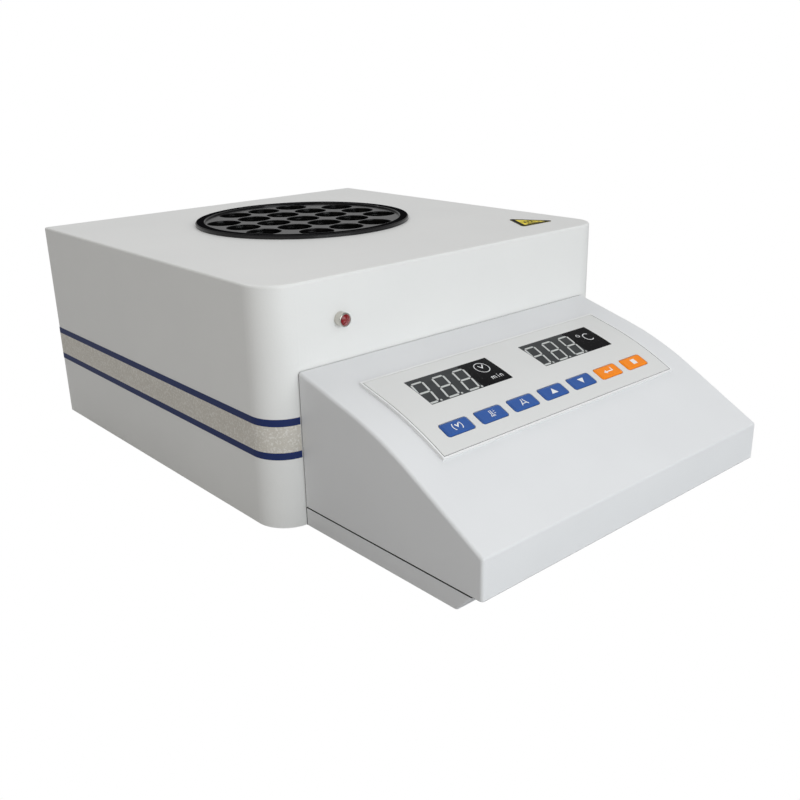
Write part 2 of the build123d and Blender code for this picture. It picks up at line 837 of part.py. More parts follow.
with BuildPart() as fuse:
    with BuildSketch(Plane(origin=(entry_x, back + entry_lip - 6.5, base + entry_height - drawer_drop), z_dir=(1, 0, 0))):
        Circle(fuse_r)
    extrude(amount=fuse_length / 2, both=True)
save(fuse, "fuse")

rocker_lean = (0, cos(radians(rocker_tilt)), sin(radians(rocker_tilt)))
rocker_frame = Plane(origin=(entry_x, rocker_axis_y, rocker_axis_z), x_dir=rocker_lean, z_dir=(1, 0, 0))
rocker_half = rocker_tall / 2 - rocker_gap
rocker_face = 4.0 + rocker_proud - rocker_half * sin(radians(rocker_tilt))
rocker_face = rocker_face / cos(radians(rocker_tilt))
with BuildPart() as power_rocker:
    with BuildSketch(rocker_frame):
        with BuildLine():
            Line((-2.4, 3.2), (rocker_face, rocker_half - 0.25))
            ThreePointArc((rocker_face, rocker_half - 0.25), (rocker_face - 0.8, 0), (rocker_face, -rocker_half + 0.25))
            Polyline((rocker_face, -rocker_half + 0.25), (-2.4, -3.2), (-2.4, 3.2))
        make_face()
        Circle(rocker_pin_r + rocker_pin_fit, mode=Mode.SUBTRACT)
    extrude(amount=rocker_width / 2 - rocker_gap, both=True)
save(power_rocker, "power_rocker")

with BuildPart() as rocker_pin:
    with BuildSketch(Plane(origin=(entry_x, rocker_axis_y, rocker_axis_z), x_dir=(0, 1, 0), z_dir=(1, 0, 0))):
        Circle(rocker_pin_r)
    extrude(amount=rocker_width / 2 + 2.5, both=True)
save(rocker_pin, "rocker_pin")

# --- power board and what stands on it ---------------------------------------
with BuildPart() as power_board:
    with BuildSketch(Plane.XY.offset(power_board_z)):
        with Locations((0, power_board_y)):
            Rectangle(power_board_width, power_board_deep)
        with Locations(*power_posts):
            Circle(board_screw_r, mode=Mode.SUBTRACT)
    extrude(amount=board_sheet)
save(power_board, "power_board")

with BuildPart() as board_posts:
    with BuildSketch(Plane.XY.offset(plate_top)):
        with Locations(*power_posts):
            RegularPolygon(power_post_r, 6)
            Circle(board_screw_r, mode=Mode.SUBTRACT)
    extrude(amount=power_board_z - plate_top)
save(board_posts, "board_posts")

board_floor = power_board_z + board_sheet
with BuildPart() as transformer:
    with BuildSketch(Plane.XY.offset(board_floor)):
        with Locations((42, power_board_y)):
            Rectangle(30, 26)
    extrude(amount=16)
    with BuildSketch(Plane.XY.offset(board_floor + 4)):
        with Locations((42, power_board_y)):
            Rectangle(20, 34)
    extrude(amount=8)
    fillet(transformer.edges().filter_by(Axis.Z), radius=0.8)
save(transformer, "transformer")

with BuildPart() as heat_sink:
    with BuildSketch(Plane.XY.offset(board_floor)):
        with Locations((-26, power_board_y - 6)):
            Rectangle(30, 3)
            with Locations((0, 6)):
                with GridLocations(4.5, 1, 7, 1):
                    Rectangle(1.5, 10)
    extrude(amount=26)
save(heat_sink, "heat_sink")

with BuildPart() as triac:
    with BuildSketch(Plane.XY.offset(board_floor + 5)):
        with Locations((-26, power_board_y - 9.75)):
            Rectangle(10, 4.5)
    extrude(amount=15)
save(triac, "triac")

terminal_y = power_board_y + 10
with BuildPart() as terminal_blocks:
    with BuildSketch(Plane.XY.offset(board_floor)):
        with Locations((block_x, terminal_y), (-54, terminal_y - 6)):
            Rectangle(20, 9)
    extrude(amount=10)
save(terminal_blocks, "terminal_blocks")


def wire(*points, bend=4.0):
    """A round insulated wire along straight runs with rounded turns."""
    with BuildPart() as lead:
        with BuildLine() as route:
            FilletPolyline(*points, radius=bend)
        with BuildSketch(Plane(origin=route.line @ 0, z_dir=route.line % 0)):
            Circle(wire_r)
        sweep()
    return lead.part


wire_low = base + 8.0
terminal_back = terminal_y + 4.5
terminal_z = board_floor + 5.0
riser_y = front + block_back - can_r - can_sheet - 2.4
pin_end = heater_bottom - heater_pin_drop
with BuildPart() as heater_wires:
    for x, y in heater_pins:
        add(
            wire(
                (x, y, pin_end), (x, y, wire_low), (x, riser_y, wire_low), (x, riser_y, terminal_z),
                (x, terminal_back, terminal_z), bend=1.7,
            )
        )
save(heater_wires, "heater_wires")

entry_back = back - entry_depth
with BuildPart() as mains_wires:
    for n, x in enumerate((-60.0, -50.0)):
        lane = -72.0 - 5.0 * n
        z = base + entry_height - 10.0 - 6.0 * n
        start = (entry_x + 4 - 8 * n, entry_back, z)
        add(
            wire(
                start, (start[0], entry_back - 8, z), (lane, entry_back - 22, z - 8),
                (lane, terminal_y + 16 + 5 * n, base + 26.0), (x, terminal_y + 8, terminal_z),
                (x, terminal_y - 1.5, terminal_z), bend=3.0,
            )
        )
save(mains_wires, "mains_wires")

sensor_end = block_y - can_r - can_sheet - sensor_tail
with BuildPart() as sensor_cable:
    add(
        wire(
            (block_x, sensor_end, sensor_z), (block_x, sensor_end - 8, sensor_z),
            (block_x + 22, power_board_y + 12, sensor_z - 6), (block_x + 22, power_board_y + 12, board_floor),
            bend=2.0,
        )
    )
save(sensor_cable, "sensor_cable")

# --- console: shell over a tray ----------------------------------------------
inner_end = run_end - console_wall * (1 - sin(front_slope)) / cos(front_slope)
front_lip = surface_point(run_end)[1]
ledge_top = shell_bottom + console_wall
inner_half = console_width / 2 - console_wall
with BuildPart() as console_shell:
    with BuildSketch(side_plane):
        with BuildLine():
            surface_run(0, run_end, 0)
            Polyline(surface_point(run_end), (-console_depth, shell_bottom), (0, shell_bottom), (0, console_rise))
        make_face()
    extrude(amount=console_width / 2, both=True)
    rounded = console_shell.edges().filter_by(
        lambda e: e.center().Y < front - 0.1
        and e.center().Z > base + shell_bottom + 0.1
        and (abs(e.center().X) > inner_half or e.center().Y < front - console_depth + 0.1)
    )
    fillet(rounded, radius=console_edge)
    with BuildSketch(side_plane):
        with BuildLine():
            surface_run(0, inner_end, -console_wall)
            Polyline(
                surface_point(inner_end, -console_wall),
                (-console_depth + console_wall, ledge_top),
                (-console_depth + shell_ledge, ledge_top),
                (-console_depth + shell_ledge, shell_bottom - 1),
                (surface_point(0, -console_wall)[0], shell_bottom - 1),
                surface_point(0, -console_wall),
            )
        make_face()
        with Locations((0, console_rise / 2)):
            Rectangle(2 * console_wall, 2 * console_rise, mode=Mode.SUBTRACT)
    extrude(amount=inner_half, both=True, mode=Mode.SUBTRACT)
    with BuildSketch(front_plane):
        with Locations((0, (console_rise - shell_flange) / 2)):
            Rectangle(console_width - 2 * shell_flange, console_rise - shell_flange)
    extrude(amount=2 * console_wall, mode=Mode.SUBTRACT)
    with BuildSketch(front_plane):
        with Locations((0, console_rise / 2)):
            Rectangle(2 * console_width, 2 * console_rise)
        with Locations((0, (console_rise - seam_depth) / 2)):
            Rectangle(console_width - 2 * seam_depth, console_rise - seam_depth, mode=Mode.SUBTRACT)
    extrude(amount=seam_gap, mode=Mode.SUBTRACT)
    for x, y in tray_posts:
        post_top = base + surface_height(front - y) - console_wall
        with BuildSketch(Plane.XY.offset(base + tray_height)):
            with Locations((x, y)):
                Circle(post_r)
        extrude(amount=post_top - base - tray_height)
        with BuildSketch(Plane.XY.offset(base + tray_height)):
            with Locations((x, y)):
                Circle(pilot_r)
        extrude(amount=tray_screw_length, mode=Mode.SUBTRACT)
    with BuildSketch(front_plane):
        with Locations(*fixings):
            Circle(post_r)
    extrude(amount=fixing_boss)
    with BuildSketch(front_plane):
        with Locations(*fixings):
            Circle(screw_r)
    extrude(amount=fixing_boss, mode=Mode.SUBTRACT)
    for run, half, depth in ((display_run, display_post_half, board_top), (key_run, 0.0, key_board_top)):
        spots = [(x * post_x, y) for x in (-1, 1) for y in sorted({-half, half})]
        with BuildSketch(surface_plane(run, depth)):
            with Locations(*spots):
                Circle(board_post_r)
        extrude(amount=-depth - console_wall / 2)
        with BuildSketch(surface_plane(run, depth)):
            with Locations(*spots):
                Circle(board_screw_r)
        extrude(amount=board_screw_length - board_sheet, mode=Mode.SUBTRACT)
    with BuildSketch(side_plane):
        with BuildLine():
            surface_strip(window_from, window_to, -2 * console_wall, 1.0)
        make_face()
    extrude(amount=window_half, both=True, mode=Mode.SUBTRACT)
    for run in stud_runs:
        with BuildSketch(surface_plane(run)):
            with Locations((-stud_x, 0), (stud_x, 0)):
                Circle(stud_r)
        extrude(amount=-2 * console_wall, mode=Mode.SUBTRACT)
save(console_shell, "console_shell")

with BuildPart() as console_base:
    with BuildSketch(side_plane):
        with BuildLine():
            Polyline((0, 0), (-tray_front, 0), (-tray_front - tray_lean, tray_height), (0, tray_height), close=True)
        make_face()
    extrude(amount=console_width / 2, both=True)
    outer_edges = console_base.edges().filter_by(lambda e: abs(e.center().X) > inner_half)
    fillet(outer_edges.filter_by(lambda e: e.center().Y < front - tray_front), radius=0.8)
    with BuildSketch(side_plane):
        with BuildLine():
            Polyline(
                (-console_wall, console_wall),
                (-tray_front + console_wall, console_wall),
                (-tray_front - tray_lean + 2 * console_wall, tray_height + tray_lip),
                (-console_wall, tray_height + tray_lip),
                close=True,
            )
        make_face()
    extrude(amount=inner_half, both=True, mode=Mode.SUBTRACT)
    for side in (-1, 1):
        with BuildSketch(Plane.XY.offset(base + console_wall)):
            with Locations((side * (inner_half - lip_gap - tray_lip_wall / 2), front - console_depth / 2)):
                Rectangle(tray_lip_wall, console_depth - 2 * shell_ledge - 14)
        extrude(amount=tray_height + tray_lip - console_wall)
    for x, y in tray_posts:
        with BuildSketch(Plane.XY.offset(base)):
            with Locations((x, y)):
                Circle(post_r + 1)
        extrude(amount=tray_height)
        with BuildSketch(Plane.XY.offset(base)):
            with Locations((x, y)):
                Circle(screw_r)
        extrude(amount=tray_height, mode=Mode.SUBTRACT)
        with BuildSketch(Plane.XY.offset(base)):
            with Locations((x, y)):
                Circle(screw_head_r)
        extrude(amount=screw_head, mode=Mode.SUBTRACT)
    with BuildSketch(Plane.XY.offset(base)):
        with Locations(*console_feet):
            Circle(screw_r)
    extrude(amount=console_wall, mode=Mode.SUBTRACT)
save(console_base, "console_base")

with BuildPart() as console_screws:
    for x, y in tray_posts:
        with BuildSketch(Plane.XY.offset(base)):
            with Locations((x, y)):
                Circle(screw_head_r)
        extrude(amount=screw_head)
        with BuildSketch(Plane.XY.offset(base)):
            with Locations((x, y)):
                Circle(pilot_r)
        extrude(amount=tray_height + tray_screw_length)
    with BuildSketch(front_plane.offset(-sheet)):
        with Locations(*fixings):
            Circle(screw_head_r)
    extrude(amount=-screw_head)
    with BuildSketch(front_plane.offset(-sheet)):
        with Locations(*fixings):
            Circle(screw_r)
    extrude(amount=fixing_length)
save(console_screws, "console_screws")


# --- control panel: bezel, printed film, windows and clips --------------------
def key_holes():
    """The seven key openings, as the shapes to cut away."""
    with BuildPart() as holes:
        with BuildSketch(surface_plane(key_run, bezel_rise + 1)):
            with Locations(*[(x, 0) for x in key_xs]):
                RectangleRounded(key_width + 2 * key_gap, key_height + 2 * key_gap, key_radius + key_gap)
        extrude(amount=-4)
    return holes.part


def strip(start, end, low, high, middle_x, half):
    """A plate between two heights over the console's top, bent with it."""
    with BuildPart() as plate:
        with BuildSketch(side_plane.offset(middle_x)):
            with BuildLine():
                surface_strip(start, end, low, high)
            make_face()
        extrude(amount=half, both=True)
    return plate.part


def display_cuts():
    """The two display openings, as the shapes to cut away."""
    half = display_width / 2
    return [strip(display_from, display_to, -1, bezel_rise + 1, centre, half) for centre in display_centres]


film_low = bezel_rise - film
with BuildPart() as panel_bezel:
    add(strip(bezel_from, bezel_to, 0, bezel_rise, 0, bezel_half))
    recess = strip(bezel_from + bezel_rim, bezel_to - bezel_rim, film_low, bezel_rise + 1, 0, film_half)
    add([recess, key_holes(), *display_cuts()], mode=Mode.SUBTRACT)
    for run in stud_runs:
        with BuildSketch(surface_plane(run)):
            with Locations((-stud_x, 0), (stud_x, 0)):
                Circle(stud_r)
        extrude(amount=-stud_length)
save(panel_bezel, "panel_bezel")

with BuildPart() as panel_film:
    film_from = bezel_from + bezel_rim + film_gap
    film_to = bezel_to - bezel_rim - film_gap
    add(strip(film_from, film_to, film_low, bezel_rise, 0, film_half - film_gap))
    add([key_holes(), *display_cuts()], mode=Mode.SUBTRACT)
save(panel_film, "panel_film")

with BuildPart() as display_windows:
    for centre in display_centres:
        add(strip(display_from, display_to, bezel_rise - display_film, bezel_rise, centre, display_width / 2))
save(display_windows, "display_windows")

with BuildPart() as panel_clips:
    for run in stud_runs:
        with BuildSketch(surface_plane(run, -console_wall - clip_gap)):
            with Locations((-stud_x, 0), (stud_x, 0)):
                Circle(clip_r)
                Circle(stud_r, mode=Mode.SUBTRACT)
        extrude(amount=-clip_thick)
save(panel_clips, "panel_clips")

# --- display and key boards ---------------------------------------------------
with BuildPart() as display_modules:
    for centre in display_centres:
        right = centre - display_width / 2 + digits_share * display_width
        with BuildSketch(surface_plane(display_run, digits_top)):
            with Locations((right - digits_width / 2, 0)):
                Rectangle(digits_width, digits_height)
        extrude(amount=-digits_depth)
save(display_modules, "display_modules")

with BuildPart() as display_board:
    with BuildSketch(surface_plane(display_run, board_top)):
        Rectangle(2 * board_half, 2 * display_board_half)
        with GridLocations(2 * post_x, 2 * display_post_half, 2, 2):
            Circle(board_screw_r, mode=Mode.SUBTRACT)
    extrude(amount=-board_sheet)
save(display_board, "display_board")

with BuildPart() as key_board:
    with BuildSketch(surface_plane(key_run, key_board_top)):
        Rectangle(2 * board_half, 2 * key_board_half)
        with GridLocations(2 * post_x, 1, 2, 1):
            Circle(board_screw_r, mode=Mode.SUBTRACT)
    extrude(amount=-board_sheet)
save(key_board, "key_board")

with BuildPart() as key_switches:
    with BuildSketch(surface_plane(key_run, key_board_top)):
        with Locations(*[(x, 0) for x in key_xs]):
            Rectangle(switch_side, switch_side)
    extrude(amount=switch_height)
    with BuildSketch(surface_plane(key_run, switch_top)):
        with Locations(*[(x, 0) for x in key_xs]):
            Circle(switch_hole_r)
    extrude(amount=-1.7, mode=Mode.SUBTRACT)
save(key_switches, "key_switches")

with BuildPart() as board_screws:
    for run, half, depth in ((display_run, display_post_half, board_top), (key_run, 0.0, key_board_top)):
        spots = [(x * post_x, y) for x in (-1, 1) for y in sorted({-half, half})]
        with BuildSketch(surface_plane(run, depth - board_sheet)):
            with Locations(*spots):
                Circle(board_screw_head_r)
        extrude(amount=-board_screw_head)
        with BuildSketch(surface_plane(run, depth - board_sheet)):
            with Locations(*spots):
                Circle(board_screw_r)
        extrude(amount=board_screw_length)
    with BuildSketch(Plane.XY.offset(board_floor)):
        with Locations(*power_posts):
            Circle(board_screw_head_r)
    extrude(amount=board_screw_head)
    with BuildSketch(Plane.XY.offset(board_floor)):
        with Locations(*power_posts):
            Circle(board_screw_r)
    extrude(amount=-board_screw_length)
save(board_screws, "board_screws")

ribbon_end = surface_point(display_run, board_top - board_sheet)
ribbon_turn = surface_point(display_run, board_top - board_sheet - 8)
with BuildPart() as ribbon_cable:
    with BuildLine() as ribbon_route:
        FilletPolyline(
            (0, power_board_y - 12, board_floor),
            (0, power_board_y - 12, base + ribbon_height),
            (0, front - 14, base + ribbon_height),
            (0, front + ribbon_turn[0], base + ribbon_turn[1]),
            (0, front + ribbon_end[0], base + ribbon_end[1]),
            radius=2,
        )
    with BuildSketch(Plane(origin=ribbon_route.line @ 0, x_dir=(1, 0, 0), z_dir=ribbon_route.line % 0)):
        Rectangle(ribbon_width, ribbon_thick)
    sweep(path=ribbon_route.line)
save(ribbon_cable, "ribbon_cable")

# --- seven keys, each a cap with a flange and a stem --------------------------
key_names = ("key_time", "key_temperature", "key_program", "key_up", "key_down", "key_enter", "key_stop")
for key_name, key_x in zip(key_names, key_xs):
    with BuildPart() as key:
        with BuildSketch(surface_plane(key_run, -0.15)):
            with Locations((key_x, 0)):
                RectangleRounded(key_width, key_height, key_radius)
        extrude(amount=bezel_rise + key_proud + 0.15)
        fillet(key.faces().sort_by(Axis.Z)[-1].edges(), radius=0.25)
        with BuildSketch(surface_plane(key_run, -0.15)):
            with Locations((key_x, 0)):
                RectangleRounded(key_width + 2 * key_flange, key_height + 2 * key_flange, key_radius)
        extrude(amount=-key_flange_thick)
        with BuildSketch(surface_plane(key_run, -0.15)):
            with Locations((key_x, 0)):
                Circle(key_stem_r)
        extrude(amount=switch_top + 0.15 - 0.8)
    save(key, key_name)
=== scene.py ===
import bpy
import json
import math
import numpy as np
from mathutils import Matrix, Vector


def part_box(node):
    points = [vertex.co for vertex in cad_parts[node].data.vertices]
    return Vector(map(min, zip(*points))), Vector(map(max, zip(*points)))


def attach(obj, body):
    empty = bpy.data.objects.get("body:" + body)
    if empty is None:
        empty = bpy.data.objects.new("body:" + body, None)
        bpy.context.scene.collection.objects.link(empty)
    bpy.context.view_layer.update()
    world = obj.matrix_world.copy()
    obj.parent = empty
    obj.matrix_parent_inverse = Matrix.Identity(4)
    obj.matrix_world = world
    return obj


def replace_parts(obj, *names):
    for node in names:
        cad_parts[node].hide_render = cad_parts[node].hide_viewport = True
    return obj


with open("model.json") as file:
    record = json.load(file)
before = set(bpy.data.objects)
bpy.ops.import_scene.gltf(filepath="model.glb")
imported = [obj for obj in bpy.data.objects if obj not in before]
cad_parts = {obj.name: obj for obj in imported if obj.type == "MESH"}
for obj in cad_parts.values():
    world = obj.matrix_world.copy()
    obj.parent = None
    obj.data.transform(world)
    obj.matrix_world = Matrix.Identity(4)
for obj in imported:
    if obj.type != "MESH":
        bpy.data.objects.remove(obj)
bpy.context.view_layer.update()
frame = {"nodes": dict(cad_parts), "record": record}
nodes = frame["nodes"]
mm = 0.001

# places from the frame
boxLow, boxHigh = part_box("housing_cover")
blockLow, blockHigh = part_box("heating_block")
boxFront, boxBack, boxBase, boxTop = boxLow.y, boxHigh.y, boxLow.z, boxHigh.z
blockX, blockY, blockTop = (blockLow.x + blockHigh.x) / 2, (blockLow.y + blockHigh.y) / 2, blockHigh.z
print("frame loaded")

# the console's top: flat, a circular bend, flat again
consoleTop = {"rise": 62.3, "bendStart": 28.5, "bendEnd": 60.2, "backSlope": 15.2, "frontSlope": 29.2}
panel = {"height": 1.2, "half": 67.4, "from": 17.5, "to": 64.3, "rim": 0.7}
display = {"width": 43.1, "centres": (-31.0, 31.75), "from": 25.1, "to": 40.9, "greyShare": 0.63}
keys = {"pitch": 17.35, "width": 13.4, "height": 6.2, "corner": 1.0, "run": 54.0, "proud": 0.45,
        "symbol": 1.18}


def onTop(x, run, height):
    # millimetres along the console's top from the box, and square to it, to a point in the frame:
    # the slope grows evenly with the run inside the bend and is constant on both sides of it
    x, run, height = np.broadcast_arrays(np.asarray(x, float), run, height)
    first, last = math.radians(consoleTop["backSlope"]), math.radians(consoleTop["frontSlope"])
    start, end = consoleTop["bendStart"], consoleTop["bendEnd"]
    radius = (end - start) / (math.sin(last) - math.sin(first))
    straight = start / math.cos(first)
    slope = np.clip(first + (run - straight) / radius, first, last)
    before = np.minimum(run, straight)
    past = np.maximum(run - straight - radius * (last - first), 0)
    y = -before * math.cos(first) - radius * (np.sin(slope) - math.sin(first)) - past * math.cos(last)
    z = (consoleTop["rise"] - before * math.sin(first)
         - radius * (math.cos(first) - np.cos(slope)) - past * math.sin(last))
    y = y - height * np.sin(slope)
    z = z + height * np.cos(slope)
    return np.stack([x * mm, boxFront + y * mm, boxBase + z * mm], axis=-1)


# shader sums
class Value:  # an output socket that takes part in sums
    def __init__(self, finish, socket):
        self.finish = finish
        self.socket = socket

    def math(self, operation, *others):
        return self.finish.node("Math", {"operation": operation}, *[self, *others])

    def __add__(self, other):
        return self.math("ADD", other)

    def __sub__(self, other):
        return self.math("SUBTRACT", other)

    def __mul__(self, other):
        return self.math("MULTIPLY", other)

    def __rsub__(self, other):
        return self.finish.node("Math", {"operation": "SUBTRACT"}, other, self)

    __radd__ = __add__
    __rmul__ = __mul__

    def over(self, limit, softness=0.0):
        if softness == 0.0:
            return self.math("GREATER_THAN", limit)
        return self.finish.node("MapRange", {"interpolation_type": "SMOOTHSTEP"},
                                self, limit - softness, limit + softness, 0.0, 1.0)


class Finish:  # one material and the nodes in it
    def __init__(self, name, **constants):
        self.material = bpy.data.materials.new(name)
        self.material.use_nodes = True
        self.tree = self.material.node_tree
        self.shader = self.tree.nodes["Principled BSDF"]
        self.place = self.node("TexCoord", pick="Object")
        for name, value in constants.items():
            self.shader.inputs[name.replace("_", " ")].default_value = value

    def node(self, kind, settings=None, *values, pick=0, **named):
        made = self.tree.nodes.new("ShaderNode" + kind)
        for name, value in (settings or {}).items():
            if name == "stops":
                ramp = made.color_ramp
                while len(ramp.elements) < len(value):
                    ramp.elements.new(0.5)
                for element, (position, colour) in zip(ramp.elements, value):
                    element.position = position
                    element.color = (*colour, 1.0) if len(colour) == 3 else colour
            else:
                setattr(made, name, value)
        for socket, value in [*zip(made.inputs, values), *[(made.inputs[n], v) for n, v in named.items()]]:
            if isinstance(value, Value):
                self.tree.links.new(value.socket, socket)
            elif value is not None:
                socket.default_value = value
        return Value(self, made.outputs[pick])

    def noise(self, grain, detail=2.0, roughness=0.5, stretch=None):
        # grain is the size of a blotch in millimetres
        place = self.place
        if stretch:
            place = self.node("Mapping", {}, place, Scale=stretch)
        return self.node("TexNoise", {}, Vector=place, Scale=1 / (grain * mm),
                         Detail=detail, Roughness=roughness)

    def cells(self, grain, pick="Distance"):
        return self.node("TexVoronoi", {}, Vector=self.place, Scale=1 / (grain * mm), pick=pick)

    def blend(self, factor, first, second):
        made = self.tree.nodes.new("ShaderNodeMix")
        made.data_type = "RGBA"
        for socket, value in zip((made.inputs[0], made.inputs[6], made.inputs[7]), (factor, first, second)):
            if isinstance(value, Value):
                self.tree.links.new(value.socket, socket)
            else:
                socket.default_value = (*value, 1.0) if hasattr(value, "__len__") else value
        return Value(self, made.outputs[2])

    def blendHeight(self, factor, first, second):
        # a weighted sum of two single values
        return factor * second + (1 - factor) * first

    def axis(self, letter):
        return self.node("SeparateXYZ", {}, self.place, pick="XYZ".index(letter))

    def fromAxis(self, x, y):
        # distance from an upright line, by the sum of two squares
        away, along = self.axis("X") - x, self.axis("Y") - y
        return (away * away + along * along).math("SQRT")

    def feed(self, **sockets):
        for name, value in sockets.items():
            self.tree.links.new(value.socket, self.shader.inputs[name.replace("_", " ")])

    def bump(self, height, depth, strength=1.0):
        # depth is the height of the bumps in millimetres
        made = self.node("Bump", {}, Strength=strength, Distance=depth * mm, Height=height, pick="Normal")
        self.tree.links.new(made.socket, self.shader.inputs["Normal"])


# finishes
def powderCoat():
    # small rounded bumps over a soft unevenness, with a few darker specks
    look = {"light": (0.82, 0.825, 0.815), "dark": (0.77, 0.775, 0.77), "speck": (0.58, 0.58, 0.58)}
    paint = Finish("powder_coat", Roughness=0.4, Coat_Weight=0.15, Coat_Roughness=0.25)
    cloud = paint.noise(38, detail=3)
    peel = paint.noise(0.9, detail=2, roughness=0.55)
    grain = paint.noise(0.28, detail=1)
    base = paint.blend(cloud, look["dark"], look["light"])
    specks = grain.over(0.74, 0.03) * 0.35
    paint.feed(Base_Color=paint.blend(specks, base, look["speck"]), Roughness=peel * 0.16 + 0.34)
    paint.bump(peel + grain * 0.35, 0.05, 0.55)
    return paint.material


def mouldedPlastic(name, light, dark, rough=0.42, texture=0.5):
    # spark-eroded mould texture: fine irregular pits with a slow change of tone
    plastic = Finish(name, Roughness=rough, IOR=1.49)
    cloud = plastic.noise(30, detail=2)
    fine = plastic.noise(0.35, detail=3, roughness=0.6)
    pits = plastic.cells(0.5)
    plastic.feed(Base_Color=plastic.blend(cloud, dark, light), Roughness=fine * 0.2 + (rough - 0.1))
    plastic.bump(fine * 0.6 + pits * 0.4, 0.03, texture)
    return plastic.material


def consoleFinish():
    # the console's moulding, with painted shade: a near-black band in the gap along the box's front and in
    # the gap above the tray
    look = {"light": (0.76, 0.77, 0.785), "dark": (0.72, 0.73, 0.745), "seamShade": (0.02, 0.02, 0.02)}
    seamShade = {"back": 0.45, "low": 7.3, "high": 7.9}
    plastic = Finish("console_plastic", Roughness=0.42, IOR=1.49)
    cloud = plastic.noise(30, detail=2)
    fine = plastic.noise(0.35, detail=3, roughness=0.6)
    pits = plastic.cells(0.5)
    # painted shade: near black where the console meets the box's front and in the narrow band above the tray
    behind = plastic.axis("Y").over(boxFront - seamShade["back"] * mm)
    height = plastic.axis("Z")
    above = height.over(boxBase + seamShade["low"] * mm) - height.over(boxBase + seamShade["high"] * mm)
    clean = plastic.blend(cloud, look["dark"], look["light"])
    plastic.feed(Base_Color=plastic.blend((behind + above).math("MINIMUM", 1.0), clean, look["seamShade"]),
                 Roughness=fine * 0.2 + 0.32)
    plastic.bump(fine * 0.6 + pits * 0.4, 0.03, 0.5)
    return plastic.material


def satinMetal(name, light, dark, rough=0.32, stretch=(1, 1, 1)):
    # fine brushed or turned lines, stretched along one direction, over a cloudy tone
    metal = Finish(name, Metallic=1.0, Roughness=rough)
    lines = metal.noise(0.5, detail=4, roughness=0.7, stretch=stretch)
    cloud = metal.noise(9, detail=2)
    metal.feed(Base_Color=metal.blend(cloud, dark, light), Roughness=lines * 0.25 + (rough - 0.12))
    metal.bump(lines, 0.01, 0.4)
    return metal.material


def blockCoating():
    # dark non-stick coating: a cloudy satin top face, and turning marks round the wells' walls
    look = {"face": (0.006, 0.006, 0.0065), "worn": (0.022, 0.022, 0.023), "well": (0.003, 0.003, 0.003)}
    coating = Finish("block_coating", Specular_IOR_Level=0.3, Coat_Roughness=0.07)
    onFace = coating.axis("Z").over(blockTop - 0.25 * mm, 0.12 * mm)
    cloud = coating.noise(9, detail=3)
    grain = coating.noise(0.7, detail=3, roughness=0.6)
    rings = coating.noise(0.6, detail=1, stretch=(0.02, 0.02, 1.0))
    face = coating.blend(cloud, look["face"], look["worn"])
    coating.feed(
        Base_Color=coating.blend(onFace, look["well"], face),
        Roughness=cloud * 0.10 + grain * 0.06 + 0.14,
        Coat_Weight=onFace * 0.1,
    )
    coating.bump(coating.blendHeight(onFace, rings * 2.5, grain * 0.12), 0.1, 0.6)
    return coating.material


def rimFinish():
    # the panel's raised rim: painted lighter than the printed face as a highlight on its edge, and a painted
    # shade line in the gap where the printed face stops short of it
    rim = Finish("panel_plastic", Roughness=0.4, IOR=1.49)
    gap = {"wide": 0.3, "x": panel["half"] - panel["rim"]}
    runs = (panel["from"] + panel["rim"], panel["to"] - panel["rim"])
    ends = [float(onTop(0, run, panel["height"])[1]) for run in runs]
    away = rim.axis("X").math("ABSOLUTE")
    along = rim.axis("Y")
    width = gap["wide"] * mm
    across = 1 - away.over(gap["x"] * mm)
    between = along.over(ends[1]) - along.over(ends[0])
    insideEnds = along.over(ends[1] + width) - along.over(ends[0] - width)
    inner = (1 - away.over(gap["x"] * mm - width)) * insideEnds
    cloud = rim.noise(20, detail=2)
    fine = rim.noise(0.35, detail=3, roughness=0.6)
    # painted highlight: the rim's colour is made lighter than the printed face
    plain = rim.blend(cloud, (0.78, 0.785, 0.79), (0.84, 0.845, 0.85))
    # painted shade: a dark line along the rim's inner edge, in the gap beside the printed face
    line = across * between - inner
    rim.feed(Base_Color=rim.blend(line, plain, (0.02, 0.02, 0.022)), Roughness=fine * 0.2 + 0.3)
    rim.bump(fine, 0.02, 0.35)
    return rim.material


def ringFinish():
    # satin black moulding, polished along its outer rim and its inner step
    ring = {"outer": 51.5, "inner": 47.9}
    black = Finish("collar_black", Specular_IOR_Level=0.0, Coat_Roughness=0.1)
    smear = black.noise(11, detail=4, roughness=0.6)
    fine = black.noise(0.5, detail=2)
    radius = black.fromAxis(blockX, blockY)
    rims = radius.over(ring["outer"] * mm, 0.12 * mm) + (1 - radius.over(ring["inner"] * mm, 0.12 * mm))
    black.feed(Base_Color=black.blend(smear, (0.003, 0.003, 0.0035), (0.008, 0.008, 0.009)),
               Roughness=smear * 0.12 + fine * 0.06 + 0.2, Coat_Weight=rims * 0.8)
    black.bump(fine, 0.01, 0.3)
    return black.material


def glossBlack(name, colour=(0.008, 0.008, 0.009), rough=0.12):
    # polished dark moulding with faint handling smears in its gloss
    black = Finish(name, Roughness=rough, Coat_Weight=0.4, Coat_Roughness=0.06)
    smear = black.noise(14, detail=4, roughness=0.6)
    fine = black.noise(0.7, detail=2)
    lighter = tuple(c * 2.2 + 0.003 for c in colour)
    black.feed(Base_Color=black.blend(smear, colour, lighter), Roughness=smear * 0.14 + (rough - 0.03))
    black.bump(fine, 0.008, 0.3)
    return black.material


def rubberFinish():
    rubber = Finish("rubber", Roughness=0.75)
    grain = rubber.noise(0.4, detail=3)
    dust = rubber.noise(6, detail=3)
    rubber.feed(Base_Color=rubber.blend(dust, (0.018, 0.018, 0.018), (0.05, 0.05, 0.048)),
                Roughness=grain * 0.2 + 0.62)
    rubber.bump(grain, 0.04, 0.6)
    return rubber.material


